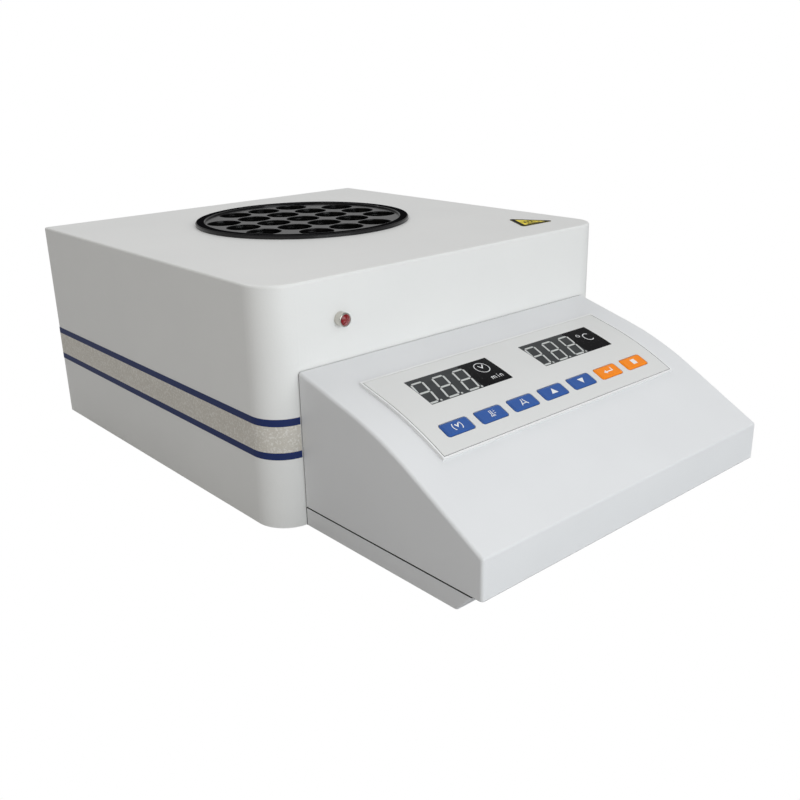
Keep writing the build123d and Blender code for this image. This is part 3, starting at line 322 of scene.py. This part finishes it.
def navyFilm():
    film = Finish("navy_film", IOR=1.35)
    cloud = film.noise(16, detail=3)
    fine = film.noise(0.5)
    film.feed(Base_Color=film.blend(cloud, (0.008, 0.020, 0.105), (0.012, 0.029, 0.135)),
              Roughness=fine * 0.15 + 0.35)
    film.bump(fine, 0.01, 0.4)
    return film.material


def silverFilm():
    # metallised tape: mottled warm and cool patches with fine flakes
    film = Finish("silver_film", Metallic=0.2, Roughness=0.35)
    patches = film.noise(6, detail=4, roughness=0.65)
    flakes = film.noise(0.9, detail=2, roughness=0.7).over(0.56, 0.06)
    mixed = film.blend(patches, (0.56, 0.53, 0.47), (0.74, 0.71, 0.65))
    film.feed(Base_Color=film.blend(flakes * 0.5, mixed, (0.92, 0.91, 0.88)), Roughness=patches * 0.25 + 0.25)
    film.bump(film.noise(1.5, detail=2), 0.01, 0.4)
    return film.material


def windowFinish():
    # smoked windows: the digits' grey reflector block shows on the left of each, black print on the right
    window = Finish("smoked_window", Specular_IOR_Level=0.06)
    x = window.axis("X")
    greyEnd = display["width"] * (display["greyShare"] - 0.5)
    leftEdge, rightEdge = ((centre + greyEnd) * mm for centre in display["centres"])
    black = x.over(leftEdge, 0.06 * mm) - x.over(0.0) + x.over(rightEdge, 0.06 * mm)
    fine = window.noise(0.45, detail=3)
    cloud = window.noise(5, detail=2)
    speck = window.noise(0.8, detail=1).over(0.68, 0.04)
    grey = window.blend(cloud, (0.038, 0.041, 0.043), (0.064, 0.068, 0.070))
    dark = window.blend(speck, (0.004, 0.004, 0.005), (0.030, 0.030, 0.031))
    window.feed(Base_Color=window.blend(black, grey, dark), Roughness=fine * 0.2 + 0.25)
    window.bump(fine, 0.015, 0.5)
    return window.material


def keyFinish(name, light, dark):
    key = Finish(name, Roughness=0.36, Specular_IOR_Level=0.25)
    cloud = key.noise(4, detail=2)
    fine = key.noise(0.25, detail=3)
    key.feed(Base_Color=key.blend(cloud, dark, light), Roughness=fine * 0.2 + 0.28)
    key.bump(fine, 0.02, 0.5)
    return key.material


def labelFinish():
    # yellow label film whose printed border also covers its cut edge
    look = {"light": (0.96, 0.78, 0.03), "dark": (0.88, 0.69, 0.02), "edge": (0.004, 0.004, 0.004),
            "top": 0.17}  # millimetres above the box where the film's upper face begins
    film = Finish("yellow_film", Roughness=0.36, Specular_IOR_Level=0.2)
    cloud = film.noise(4, detail=2)
    fine = film.noise(0.25, detail=3)
    face = film.axis("Z").over(boxTop + look["top"] * mm)
    film.feed(Base_Color=film.blend(face, look["edge"], film.blend(cloud, look["dark"], look["light"])),
              Roughness=fine * 0.2 + 0.28)
    film.bump(fine, 0.02, 0.5)
    return film.material


def printInk(name, colour, worn, shine=0.5):
    ink = Finish(name, Roughness=0.5, Specular_IOR_Level=shine)
    fine = ink.noise(0.4, detail=3)
    ink.feed(Base_Color=ink.blend(fine, worn, colour), Roughness=fine * 0.2 + 0.4)
    return ink.material


def redLens():
    lens = Finish("red_lens", Transmission_Weight=0.1, IOR=1.45, Coat_Weight=0.1)
    cloud = lens.noise(1.2, detail=2)
    lens.feed(Base_Color=lens.blend(cloud, (0.10, 0.001, 0.003), (0.38, 0.004, 0.010)),
              Roughness=cloud * 0.1 + 0.12)
    return lens.material


def circuitBoard():
    board = Finish("circuit_board", Roughness=0.4, Coat_Weight=0.3)
    tracks = board.cells(3.0)
    weave = board.noise(0.8, detail=2)
    lines = tracks.over(0.45, 0.05)
    board.feed(Base_Color=board.blend(lines, (0.012, 0.10, 0.04), (0.03, 0.18, 0.07)),
               Roughness=weave * 0.2 + 0.3)
    board.bump(lines, 0.03, 0.5)
    return board.material


def plainSoft(name, light, dark, grain=1.5, rough=0.8):
    soft = Finish(name, Roughness=rough)
    fibre = soft.noise(grain, detail=5, roughness=0.7)
    soft.feed(Base_Color=soft.blend(fibre, dark, light), Roughness=fibre * 0.15 + (rough - 0.08))
    soft.bump(fibre, 0.3, 0.6)
    return soft.material


finishes = {
    "case_paint": powderCoat(),
    "zinc_steel": satinMetal("zinc_steel", (0.62, 0.62, 0.60), (0.5, 0.5, 0.49)),
    "bright_metal": satinMetal("bright_metal", (0.70, 0.68, 0.63), (0.58, 0.56, 0.51), rough=0.24),
    "block_metal": blockCoating(),
    "black_plastic": glossBlack("black_plastic", rough=0.14),
    "collar_black": ringFinish(),
    "rubber": rubberFinish(),
    "navy_film": navyFilm(),
    "silver_film": silverFilm(),
    "yellow_film": labelFinish(),
    "console_plastic": consoleFinish(),
    "panel_plastic": rimFinish(),
    "panel_print": mouldedPlastic("panel_print", (0.715, 0.72, 0.715), (0.685, 0.69, 0.685),
                                  rough=0.36, texture=0.3),
    "key_blue": keyFinish("key_blue", (0.035, 0.110, 0.38), (0.026, 0.090, 0.32)),
    "key_orange": keyFinish("key_orange", (0.96, 0.27, 0.004), (0.90, 0.23, 0.003)),
    "white_ink": printInk("white_ink", (0.86, 0.87, 0.88), (0.72, 0.73, 0.75)),
    "segment_grey": printInk("segment_grey", (0.62, 0.64, 0.63), (0.48, 0.50, 0.49)),
    "black_ink": printInk("black_ink", (0.004, 0.004, 0.004), (0.01, 0.01, 0.01), shine=0.05),
    "red_lens": redLens(),
    "board": circuitBoard(),
    "wool": plainSoft("wool", (0.82, 0.79, 0.70), (0.62, 0.58, 0.48)),
    "bare_aluminium": satinMetal("bare_aluminium", (0.75, 0.75, 0.74), (0.62, 0.62, 0.61)),
    "mica": plainSoft("mica", (0.5, 0.46, 0.36), (0.36, 0.32, 0.24), grain=3, rough=0.5),
    "ceramic": plainSoft("ceramic", (0.84, 0.82, 0.76), (0.76, 0.73, 0.66), grain=2, rough=0.4),
    "bakelite": mouldedPlastic("bakelite", (0.06, 0.045, 0.04), (0.035, 0.028, 0.025)),
    "grey_parts": mouldedPlastic("grey_parts", (0.16, 0.17, 0.19), (0.11, 0.12, 0.13)),
    "green_parts": mouldedPlastic("green_parts", (0.05, 0.3, 0.12), (0.035, 0.22, 0.09)),
    "wire_red": mouldedPlastic("wire_red", (0.42, 0.03, 0.025), (0.3, 0.02, 0.02)),
    "wire_brown": mouldedPlastic("wire_brown", (0.2, 0.09, 0.04), (0.13, 0.055, 0.025)),
    "wire_grey": mouldedPlastic("wire_grey", (0.5, 0.5, 0.5), (0.4, 0.4, 0.4)),
    "fuse_glass": mouldedPlastic("fuse_glass", (0.7, 0.75, 0.74), (0.6, 0.64, 0.63), rough=0.15),
}
slotOf = {row["node"]: row.get("material_slot") for row in frame["record"]["subparts"]}
for name, piece in nodes.items():
    finish = finishes.get(slotOf.get(name), finishes["grey_parts"])
    if name == "block_collar":
        finish = finishes["collar_black"]
    piece.data.materials.clear()
    piece.data.materials.append(finish)
print("finishes ready:", len(finishes))


# making surfaces
def addPiece(name, points, faces, finish, body="heater", slot=None, smooth=True):
    mesh = bpy.data.meshes.new(name)
    corners = np.asarray(points, float).reshape(-1, 3).tolist()
    mesh.from_pydata(corners, [], [list(map(int, face)) for face in faces])
    mesh.update()
    mesh.shade_smooth() if smooth else mesh.shade_flat()
    mesh.materials.append(finishes[finish])
    piece = bpy.data.objects.new(name, mesh)
    bpy.context.scene.collection.objects.link(piece)
    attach(piece, body)
    return piece


def gridFaces(rows, columns, aroundColumns=True):
    # quads of a rows by columns grid of points, closed round its columns or left open
    last = columns if aroundColumns else columns - 1
    row, column = np.meshgrid(np.arange(rows - 1), np.arange(last), indexing="ij")
    following = (column + 1) % columns
    quads = np.stack([row * columns + column, row * columns + following,
                      (row + 1) * columns + following, (row + 1) * columns + column], axis=-1)
    return quads.reshape(-1, 4)


def turned(profile, centre, outward, steps=48, capStart=True, capEnd=True, shape=None):
    # a profile of (radius, height) turned round an axis; shape may add a height by radius and angle
    axis = np.array(outward, float)
    side = np.cross(axis, (0, 0, 1) if abs(axis[2]) < 0.9 else (1, 0, 0))
    side = side / np.linalg.norm(side)
    other = np.cross(axis, side)
    radius, height = np.array(profile, float).T
    angle = np.linspace(0, 2 * np.pi, steps, endpoint=False)
    r = np.repeat(radius[:, None], steps, 1)
    h = np.repeat(height[:, None], steps, 1)
    a = np.repeat(angle[None, :], len(radius), 0)
    if shape:
        h = h + shape(r, a)
    points = (np.array(centre)[None, None] + (r * np.cos(a))[..., None] * mm * side
              + (r * np.sin(a))[..., None] * mm * other + h[..., None] * mm * axis)
    faces = [list(f) for f in gridFaces(len(radius), steps)]
    count = len(radius) * steps
    if capStart:
        faces.append(list(range(steps))[::-1])
    if capEnd:
        faces.append(list(range(count - steps, count)))
    return points.reshape(-1, 3), faces


def together(parts):
    # several (points, faces) as one
    points, faces, start = [], [], 0
    for somePoints, someFaces in parts:
        points.append(np.asarray(somePoints).reshape(-1, 3))
        faces += [[int(i) + start for i in f] for f in someFaces]
        start += len(points[-1])
    return np.concatenate(points), faces


def stroke(path, width, closed=False):
    # a line of even width along a flat path, mitred at its corners
    path = np.array(path, float)
    before, after = np.roll(path, 1, 0), np.roll(path, -1, 0)
    if not closed:
        before[0], after[-1] = 2 * path[0] - path[1], 2 * path[-1] - path[-2]
    into = (path - before) / np.linalg.norm(path - before, axis=1)[:, None]
    out = (after - path) / np.linalg.norm(after - path, axis=1)[:, None]
    normal = np.stack([-(into + out)[:, 1], (into + out)[:, 0]], 1)
    normal /= np.linalg.norm(normal, axis=1)[:, None]
    share = np.clip(np.sum(normal * np.stack([-into[:, 1], into[:, 0]], 1), 1), 0.4, 1)
    offset = normal * (width / 2 / share)[:, None]
    points = np.concatenate([path - offset, path + offset])
    count = len(path)
    index = np.arange(count if closed else count - 1)
    following = (index + 1) % count
    return points, np.stack([index, following, following + count, index + count], 1)


def filled(outline):
    # a flat shape with straight edges
    return np.array(outline, float), [list(range(len(outline)))]


def arc(x, y, radius, start=0, end=360, steps=28):
    angle = np.radians(np.linspace(start, end, steps, endpoint=abs(end - start) < 360))
    return np.stack([x + radius * np.cos(angle), y + radius * np.sin(angle)], 1)


def marks(name, shapes, place, finish, body="heater", slot=None):
    # flat shapes laid on a surface: place turns each flat point into a point in the frame
    points, faces, start = [], [], 0
    for flat, someFaces in shapes:
        points.append(place(flat[:, 0], flat[:, 1]))
        faces += [[int(i) + start for i in f] for f in someFaces]
        start += len(flat)
    return addPiece(name, np.concatenate(points), faces, finish, body, slot, smooth=False)


# displays
# last: from the third digit's left side to the end of the window's grey part; below: from the digits'
# feet to the window's lower edge; tip: how blunt a bar's ends are; least: how much of a cut bar must show
digits = {"height": 12.4, "width": 5.6, "bar": 0.92, "lean": 0.22, "pitch": 10.6, "lift": 0.07, "gap": 0.22,
          "last": 7.5, "below": 0.35, "tip": 0.08, "least": 0.4, "pointAway": 1.3, "pointRadius": 0.5}


def digitShapes(left, clipLeft):
    # seven bars and a point; flat points are (x, run), and the lean shears them to the right going up;
    # a bar that the window's left edge covers is cut there, or left out if hardly any of it shows
    bottom = display["to"] - digits["below"]
    tall, wide, bar, gap = digits["height"], digits["width"], digits["bar"], digits["gap"]
    half = tall / 2
    ends = [((0, tall), (wide, tall)), ((0, half), (wide, half)), ((0, 0), (wide, 0)),
            ((0, 0), (0, half)), ((0, half), (0, tall)),
            ((wide, 0), (wide, half)), ((wide, half), (wide, tall))]
    shapes = []
    for start, end in ends:
        start, end = np.array(start, float), np.array(end, float)
        along = (end - start) / np.linalg.norm(end - start)
        across = np.array([-along[1], along[0]])
        start, end = start + along * gap, end - along * gap
        point = bar / 2 / np.linalg.norm(end - start)
        cuts = np.linspace(0, 1, 6)
        cuts[1], cuts[-2] = point, 1 - point
        middle = start + (end - start) * cuts[:, None]
        reach = bar / 2 * np.clip(np.minimum(cuts, 1 - cuts) / point, digits["tip"], 1)
        flat = np.concatenate([middle - across * reach[:, None], middle + across * reach[:, None]])
        flat[:, 0] = left + flat[:, 0] + flat[:, 1] * digits["lean"]
        flat[:, 1] = bottom - bar / 2 - flat[:, 1]
        if flat[:, 0].max() > clipLeft + digits["least"]:
            flat[:, 0] = np.maximum(flat[:, 0], clipLeft)
            index = np.arange(5)
            shapes.append((flat, np.stack([index, index + 6, index + 7, index + 1], 1)))
    decimal = arc(left + wide + digits["pointAway"], bottom - bar / 2, digits["pointRadius"], steps=14)
    shapes.append(filled(decimal[::-1]))
    return shapes


for side, centre in zip(("left", "right"), display["centres"]):
    leftEdge = centre - display["width"] / 2
    shapes = []
    for number in range(3):
        left = (leftEdge + display["width"] * display["greyShare"] - digits["last"]
                - digits["pitch"] * (2 - number))
        shapes += digitShapes(left, leftEdge + 0.1)
    marks(f"digits_{side}", shapes, lambda x, run: onTop(x, run, panel["height"] + digits["lift"]),
          "segment_grey", slot="window")

icons = {"line": 0.32, "lift": 0.06}


def windowPlace(x, up):
    # up is millimetres up the slope from the middle of the display
    return onTop(x, (display["from"] + display["to"]) / 2 - up, panel["height"] + icons["lift"])


def clockShapes(x, y, radius, line):
    hands = [(x - 0.3 * radius, y + 0.45 * radius), (x, y - 0.1 * radius),
             (x + 0.55 * radius, y + 0.55 * radius)]
    return [stroke(arc(x, y, radius), line, closed=True), stroke(hands, line * 1.5)]


# a millimetre right of the middle of each window's black part
timeX, degreeX = (centre + display["width"] * display["greyShare"] / 2 + 1.0 for centre in display["centres"])
letters = {"x": 1.4, "floor": -5.4, "tall": 1.5, "line": 0.3, "wide": 0.5}


def smallLetters(x):
    # "min": upright strokes joined by half circles
    low, line, wide = letters["floor"], letters["line"], letters["wide"]
    crown = low + letters["tall"] - wide
    uprights = [x + step * wide for step in (0, 2, 4, 7, 9.4, 11.4)]
    shapes = [stroke([(at, low), (at, crown + (wide if number in (0, 3, 4) else 0))], line)
              for number, at in enumerate(uprights)]
    for at in (uprights[0], uprights[1], uprights[4]):
        shapes.append(stroke(arc(at + wide, crown, wide, 180, 0, 8), line))
    shapes.append(filled(arc(uprights[3], crown + 1.3 * wide + 0.35, 0.24, steps=10)))
    return shapes


marks("time_marks", clockShapes(timeX, 2.6, 3.2, icons["line"]) + smallLetters(timeX - letters["x"]),
      windowPlace, "white_ink")
marks("degree_marks", [stroke(arc(degreeX - 3.0, 3.2, 0.85), 0.3, closed=True),
                       stroke(arc(degreeX + 1.3, 0.9, 2.4, 50, 310, 20), 0.42)], windowPlace, "white_ink")
print("displays done")

# keys
keyNames = ("time", "temperature", "program", "up", "down", "enter", "stop")
cap = {"base": -0.15, "bevelRun": 0.75, "bevelDrop": 0.38, "dish": 0.08, "cornerSteps": 7}


def roundedRing(halfX, halfY, radius, steps):
    # points round a rounded rectangle, anticlockwise, the same number for every size
    quarter = np.radians(np.linspace(0, 90, steps))
    ring = []
    for turn, (sx, sy) in enumerate([(1, 1), (-1, 1), (-1, -1), (1, -1)]):
        angle = quarter + turn * np.pi / 2
        ring.append(np.stack([sx * (halfX - radius) + radius * np.cos(angle),
                              sy * (halfY - radius) + radius * np.sin(angle)], 1))
    return np.concatenate(ring)


def keyCap(name, x):
    # rings of a rounded rectangle: up the side, over a flat bevel and into a slightly dished top
    halfX, halfY, top = keys["width"] / 2, keys["height"] / 2, panel["height"] + keys["proud"]
    run, drop = cap["bevelRun"], cap["bevelDrop"]
    rings = [(0, cap["base"]), (0, top - drop - 0.08), (0.05, top - drop),
             (run - 0.06, top - 0.03), (run + 0.08, top),
             (run + 0.6, top - cap["dish"] * 0.5), (run + 1.4, top - cap["dish"])]
    points = []
    for inset, height in rings:
        radius = max(keys["corner"] - inset, 0.25)
        ring = roundedRing(halfX - inset, halfY - inset, radius, cap["cornerSteps"])
        points.append(onTop(x + ring[:, 0], keys["run"] - ring[:, 1], height))
    count = 4 * cap["cornerSteps"]
    faces = [list(f) for f in gridFaces(len(rings), count)]
    faces.append(list(range((len(rings) - 1) * count, len(rings) * count)))
    faces.append(list(range(count))[::-1])
    finish = "key_orange" if name in ("enter", "stop") else "key_blue"
    piece = addPiece("cap_" + name, np.concatenate(points), faces, finish, f"key_{name}_cap", finish,
                     smooth=False)
    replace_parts(piece, "key_" + name)


def keySymbols():
    # generic pictures for what each key does, in millimetres from the key's middle
    line = 0.42
    bulb = arc(0, -1.2, 0.75, 118, 422, 20)
    stem = [(0.35, -0.5), (0.35, 1.6), (0, 1.95), (-0.35, 1.6), (-0.35, -0.5)]
    flask = [(-0.45, 1.9), (-0.45, 0.6), (-1.7, -1.7), (1.7, -1.7), (0.45, 0.6), (0.45, 1.9)]
    return {
        "time": clockShapes(0, 0, 1.85, line * 0.8),
        "temperature": [stroke(bulb, 0.3), stroke(stem, 0.3), filled(arc(0, -1.2, 0.35, steps=12)),
                        stroke([(1.1, 1.4), (1.8, 1.4)], 0.25), stroke([(1.1, 0.6), (1.8, 0.6)], 0.25),
                        stroke([(1.1, -0.2), (1.8, -0.2)], 0.25)],
        "program": [stroke(flask, 0.34), stroke([(-0.85, 1.9), (0.85, 1.9)], 0.34),
                    stroke([(-1.1, -0.6), (1.1, -0.6)], 0.3)],
        "up": [filled([(-1.5, -1.05), (1.5, -1.05), (0, 1.25)])],
        "down": [filled([(-1.5, 1.05), (0, -1.25), (1.5, 1.05)])],
        "enter": [stroke([(2.0, 1.3), (2.0, -0.2), (-1.6, -0.2)], 0.45),
                  filled([(-2.5, -0.2), (-1.1, -1.1), (-1.1, 0.7)])],
        "stop": [filled([(-1.15, -1.15), (1.15, -1.15), (1.15, 1.15), (-1.15, 1.15)])],
    }


symbols = keySymbols()
for number, name in enumerate(keyNames):
    middle = keys["pitch"] * (number - 3)
    keyCap(name, middle)
    height = panel["height"] + keys["proud"] - cap["dish"] + 0.03
    marks("symbol_" + name, symbols[name],
          lambda x, up: onTop(middle + keys["symbol"] * x, keys["run"] - keys["symbol"] * up, height),
          "white_ink", f"key_{name}_cap")
print("keys done")

# lamp
lamp = {"x": -61.8, "height": 78.5, "face": 3.3, "radius": 2.15, "facets": 8}


def lensHeight(radius, angle):
    # a low dome with flat facets: the facet's middle is lower than its ridges
    share = radius / lamp["radius"]
    ridge = np.abs(np.cos(angle * lamp["facets"] / 2))
    return 0.75 * (1 - share ** 2) - 0.28 * ridge * share * (1.15 - share)


lensProfile = [(r, 0.05) for r in np.linspace(lamp["radius"], 0.02, 12)]
lensMiddle = (lamp["x"] * mm, boxFront - lamp["face"] * mm, boxBase + lamp["height"] * mm)
lensPoints, lensFaces = turned(lensProfile, lensMiddle, (0, -1, 0), steps=48, shape=lensHeight)
lens = addPiece("lamp_facets", lensPoints, [face[::-1] for face in lensFaces], "red_lens",
                slot="red_lens", smooth=False)
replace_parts(lens, "lamp_lens")

# caution label
label = {"x": 70.9, "front": 17.9, "side": 21.6, "border": 2.0, "lift": 0.22, "corner": 0.3}
wave = {"apart": 2.3, "low": -2.2, "high": 2.6, "sway": 0.45, "turns": 1.8, "line": 1.1}
hotSurface = {"half": 4.2, "height": -3.3, "line": 0.9}


def labelPlace(x, y):
    # x and y in millimetres from the middle of the triangle
    depth = label["side"] * math.sin(math.radians(60))
    middle = label["front"] + depth / 3
    height = np.full_like(x, boxTop + label["lift"] * mm)
    return np.stack([(label["x"] + x) * mm, boxFront + (middle + y) * mm, height], -1)


def roundedTriangle(reach, radius, steps=8):
    # corners at a distance from the middle, each rounded
    parts = []
    for turn in (90, 210, 330):
        direction = np.array([math.cos(math.radians(turn)), math.sin(math.radians(turn))])
        centre = direction * (reach - 2 * radius)
        parts.append(arc(*centre, radius, turn - 60, turn + 60, steps))
    return np.concatenate(parts)


reach = label["side"] / math.sqrt(3)
heat = []
for offset in (-wave["apart"], 0, wave["apart"]):
    up = np.linspace(wave["low"], wave["high"], 15)
    heat.append(stroke(np.stack([offset + wave["sway"] * np.sin(up * wave["turns"]), up], 1), wave["line"]))
heat.append(stroke([(-hotSurface["half"], hotSurface["height"]), (hotSurface["half"], hotSurface["height"])],
                   hotSurface["line"]))
edging = stroke(roundedTriangle(reach - label["border"], label["corner"]), label["border"], closed=True)
marks("label_print", [edging, *heat], labelPlace, "black_ink", slot="yellow_film")
print("lamp and label done")

# screws and feet
screw = {"radius": 2.8, "height": 1.8, "rim": 0.7, "slotWide": 0.42, "slotLong": 1.55, "deep": 1.0,
         "wall": 1.2, "fromWall": 5.0}


def crossRecess(radius, angle):
    # two crossed slots, sunk where the point is near either axis
    x, y = np.abs(radius * np.cos(angle)), np.abs(radius * np.sin(angle))
    near, far = np.minimum(x, y), np.maximum(x, y)
    inside = (near < screw["slotWide"]) & (far < screw["slotLong"])
    return np.where(inside, -screw["deep"], 0.0)


def panHead(centre, outward):
    share = np.linspace(0, 1, 15)
    # an upright rim, then a quarter of an ellipse in to the middle
    rim, radius, rise = screw["rim"], screw["radius"], screw["height"] - screw["rim"]
    dome = [(radius, 0.0), (radius, rim)]
    dome += [(radius * (1 - s) + 0.02, rim + rise * math.sqrt(1 - (1 - s) ** 2)) for s in share[1:]]
    points, faces = turned(dome, centre, outward, steps=40, shape=crossRecess)
    return points, [f[::-1] for f in faces]


edge = boxHigh.x - (screw["wall"] + screw["fromWall"]) * mm
tall = boxTop - boxBase
deep = boxBack - boxFront
heads = [panHead((x * edge, boxBack, boxBase + z * tall), (0, 1, 0))
         for x in (-1, 1) for z in (0.15, 0.85)]
heads += [panHead((x * edge, boxFront + y * deep, boxBase), (0, 0, -1))
          for x in (-1, 1) for y in (0.22, 0.5, 0.78)]
caseScrews = addPiece("screw_heads", *together(heads), "bright_metal", slot="zinc_steel", smooth=False)
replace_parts(caseScrews, "case_screws")

foot = {"inset": 24.0, "consoleX": 58.0, "consoleBack": 34.0, "consoleDepth": 93.4}
# (radius, height) down the side, round the sole and up into the screw's hollow
footProfile = [(7.0, 0.0), (7.0, -0.6), (6.65, -4.2), (6.3, -4.8), (5.7, -5.0), (3.3, -5.0),
               (2.9, -4.7), (2.7, -3.2), (0.05, -3.2)]
places = [(x, boxFront + y) for x in (boxLow.x + foot["inset"] * mm, boxHigh.x - foot["inset"] * mm)
          for y in (foot["inset"] * mm, deep - foot["inset"] * mm)]
consoleFeet = boxFront - (foot["consoleDepth"] - foot["consoleBack"]) * mm
places += [(x * foot["consoleX"] * mm, consoleFeet) for x in (-1, 1)]
feet = [turned(footProfile, (x, y, boxBase), (0, 0, 1), steps=40) for x, y in places]
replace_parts(addPiece("feet", *together(feet), "rubber", slot="rubber"), "rubber_feet")
print("screws and feet done")

# marks on the power entry
rocker = {"x": -62.0, "rise": 47.0 + 12.6, "inset": 2.0, "tilt": 8.0, "half": 5.35, "face": 4.77, "dip": 0.8,
          "lift": 0.03}


def rockerPlace(x, up):
    # up the rocker's hollow face, which leans with the rocker
    tilt = math.radians(rocker["tilt"])
    out = rocker["face"] - rocker["dip"] * (1 - (up / rocker["half"]) ** 2) + rocker["lift"]
    y = boxBack + (out * math.cos(tilt) - up * math.sin(tilt) - rocker["inset"]) * mm
    z = boxBase + (rocker["rise"] + out * math.sin(tilt) + up * math.cos(tilt)) * mm
    return np.stack([(rocker["x"] - x) * mm, y, z], -1)


onMark = stroke([(0, 2.1), (0, 3.2), (0, 4.3)], 0.4)
offMark = stroke(arc(0, -3.1, 1.0), 0.35, closed=True)
marks("rocker_marks", [onMark, offMark], rockerPlace, "white_ink", "rocker", "black_plastic")
print("power entry done")

# displays' finish
windows = nodes["display_windows"]
windows.data.materials.clear()
windows.data.materials.append(windowFinish())

# floor, light and camera
studio = {"bounce": 0.45, "dark": 0.16, "bright": 0.98, "glossDark": 0.04, "glossBright": 0.4}
ground = Finish("studio_floor", Roughness=0.9, IOR=1.0, Emission_Color=(1, 1, 1, 1))
seen = ground.node("LightPath", {}, pick="Is Camera Ray")
bounce = (studio["bounce"],) * 3
ground.feed(Base_Color=ground.blend(seen, bounce, (0, 0, 0)), Emission_Strength=seen)
floorMesh = bpy.data.meshes.new("floor")
floorMesh.from_pydata([(-6, -6, 0), (6, -6, 0), (6, 6, 0), (-6, 6, 0)], [], [(0, 1, 2, 3)])
floorMesh.materials.append(ground.material)
floor = bpy.data.objects.new("floor", floorMesh)
bpy.context.scene.collection.objects.link(floor)


def addLight(name, place, target, power, size, colour=(1, 1, 1)):
    lamp = bpy.data.lights.new(name, "AREA")
    lamp.energy, lamp.size, lamp.color = power, size, colour
    light = bpy.data.objects.new(name, lamp)
    light.location = place
    light.rotation_euler = (Vector(target) - Vector(place)).to_track_quat("-Z", "Y").to_euler()
    bpy.context.scene.collection.objects.link(light)


world = bpy.data.worlds.new("studio")
world.use_nodes = True
sky = world.node_tree
background = sky.nodes["Background"]
background.inputs["Color"].default_value = (1, 1, 1, 1)
paths = sky.nodes.new("ShaderNodeLightPath")
direction = sky.nodes.new("ShaderNodeTexCoord")
parts = sky.nodes.new("ShaderNodeSeparateXYZ")
ahead = sky.nodes.new("ShaderNodeMath")
ahead.operation = "ADD"


def ranged(low, high, reach=1.0):
    made = sky.nodes.new("ShaderNodeMapRange")
    made.inputs["From Min"].default_value, made.inputs["From Max"].default_value = -reach, reach
    made.inputs["To Min"].default_value, made.inputs["To Max"].default_value = low, high
    return made


sideways = ranged(studio["dark"], studio["bright"])  # soft light comes mostly from the object's right
# reflections are brightest behind and to the right
glossy = ranged(studio["glossDark"], studio["glossBright"], 1.4)
gloss = sky.nodes.new("ShaderNodeMix")
seenSky = sky.nodes.new("ShaderNodeMix")  # the camera sees plain white
seenSky.inputs["B"].default_value = 1.0
for start, end in (
    (direction.outputs["Generated"], parts.inputs[0]),
    (parts.outputs["X"], sideways.inputs["Value"]),
    (parts.outputs["X"], ahead.inputs[0]),
    (parts.outputs["Y"], ahead.inputs[1]),
    (ahead.outputs[0], glossy.inputs["Value"]),
    (sideways.outputs["Result"], gloss.inputs["A"]),
    (glossy.outputs["Result"], gloss.inputs["B"]),
    (paths.outputs["Is Glossy Ray"], gloss.inputs["Factor"]),
    (gloss.outputs["Result"], seenSky.inputs["A"]),
    (paths.outputs["Is Camera Ray"], seenSky.inputs["Factor"]),
    (seenSky.outputs["Result"], background.inputs["Strength"]),
):
    sky.links.new(start, end)
bpy.context.scene.world = world
lights = {
    "key": ((-0.12, -1.1, 0.22), 7.2, 0.8, (0.95, 0.985, 1.0)),
    "fill": ((-1.3, -0.3, 0.6), 2.7, 1.2, (1.0, 0.93, 0.82)),
    "over": ((0.2, 0.7, 1.2), 3.7, 0.9, (1, 1, 1)),
    "glint": ((-0.2, -0.3, 1.2), 0.5, 0.15, (1, 1, 1)),
}
for name, (place, power, size, colour) in lights.items():
    addLight(name, place, (0, 0, 0.05), power, size, colour)

view = {"eye": (-267.13, -318.05, 173.98), "yaw": 41.136, "pitch": 20.108, "roll": 1.25, "lens": 41.99}
yaw, pitch, roll = (math.radians(view[k]) for k in ("yaw", "pitch", "roll"))
forward = Vector((math.sin(yaw) * math.cos(pitch), math.cos(yaw) * math.cos(pitch), -math.sin(pitch)))
right = Vector((math.cos(yaw), -math.sin(yaw), 0))
down = forward.cross(right)
right, down = math.cos(roll) * right + math.sin(roll) * down, -math.sin(roll) * right + math.cos(roll) * down
cameraData = bpy.data.cameras.new("camera")
cameraData.lens, cameraData.sensor_width = view["lens"], 36
cameraData.clip_start = 0.01
camera = bpy.data.objects.new("camera", cameraData)
turn = Matrix((right, -down, -forward)).transposed()
camera.matrix_world = Matrix.Translation(Vector(view["eye"]) * mm) @ turn.to_4x4()
bpy.context.scene.collection.objects.link(camera)
bpy.context.scene.camera = camera
bpy.context.scene.view_settings.view_transform = "Standard"
print("studio done")


def plain(box):
    return [[float(v) for v in corner] for corner in box]
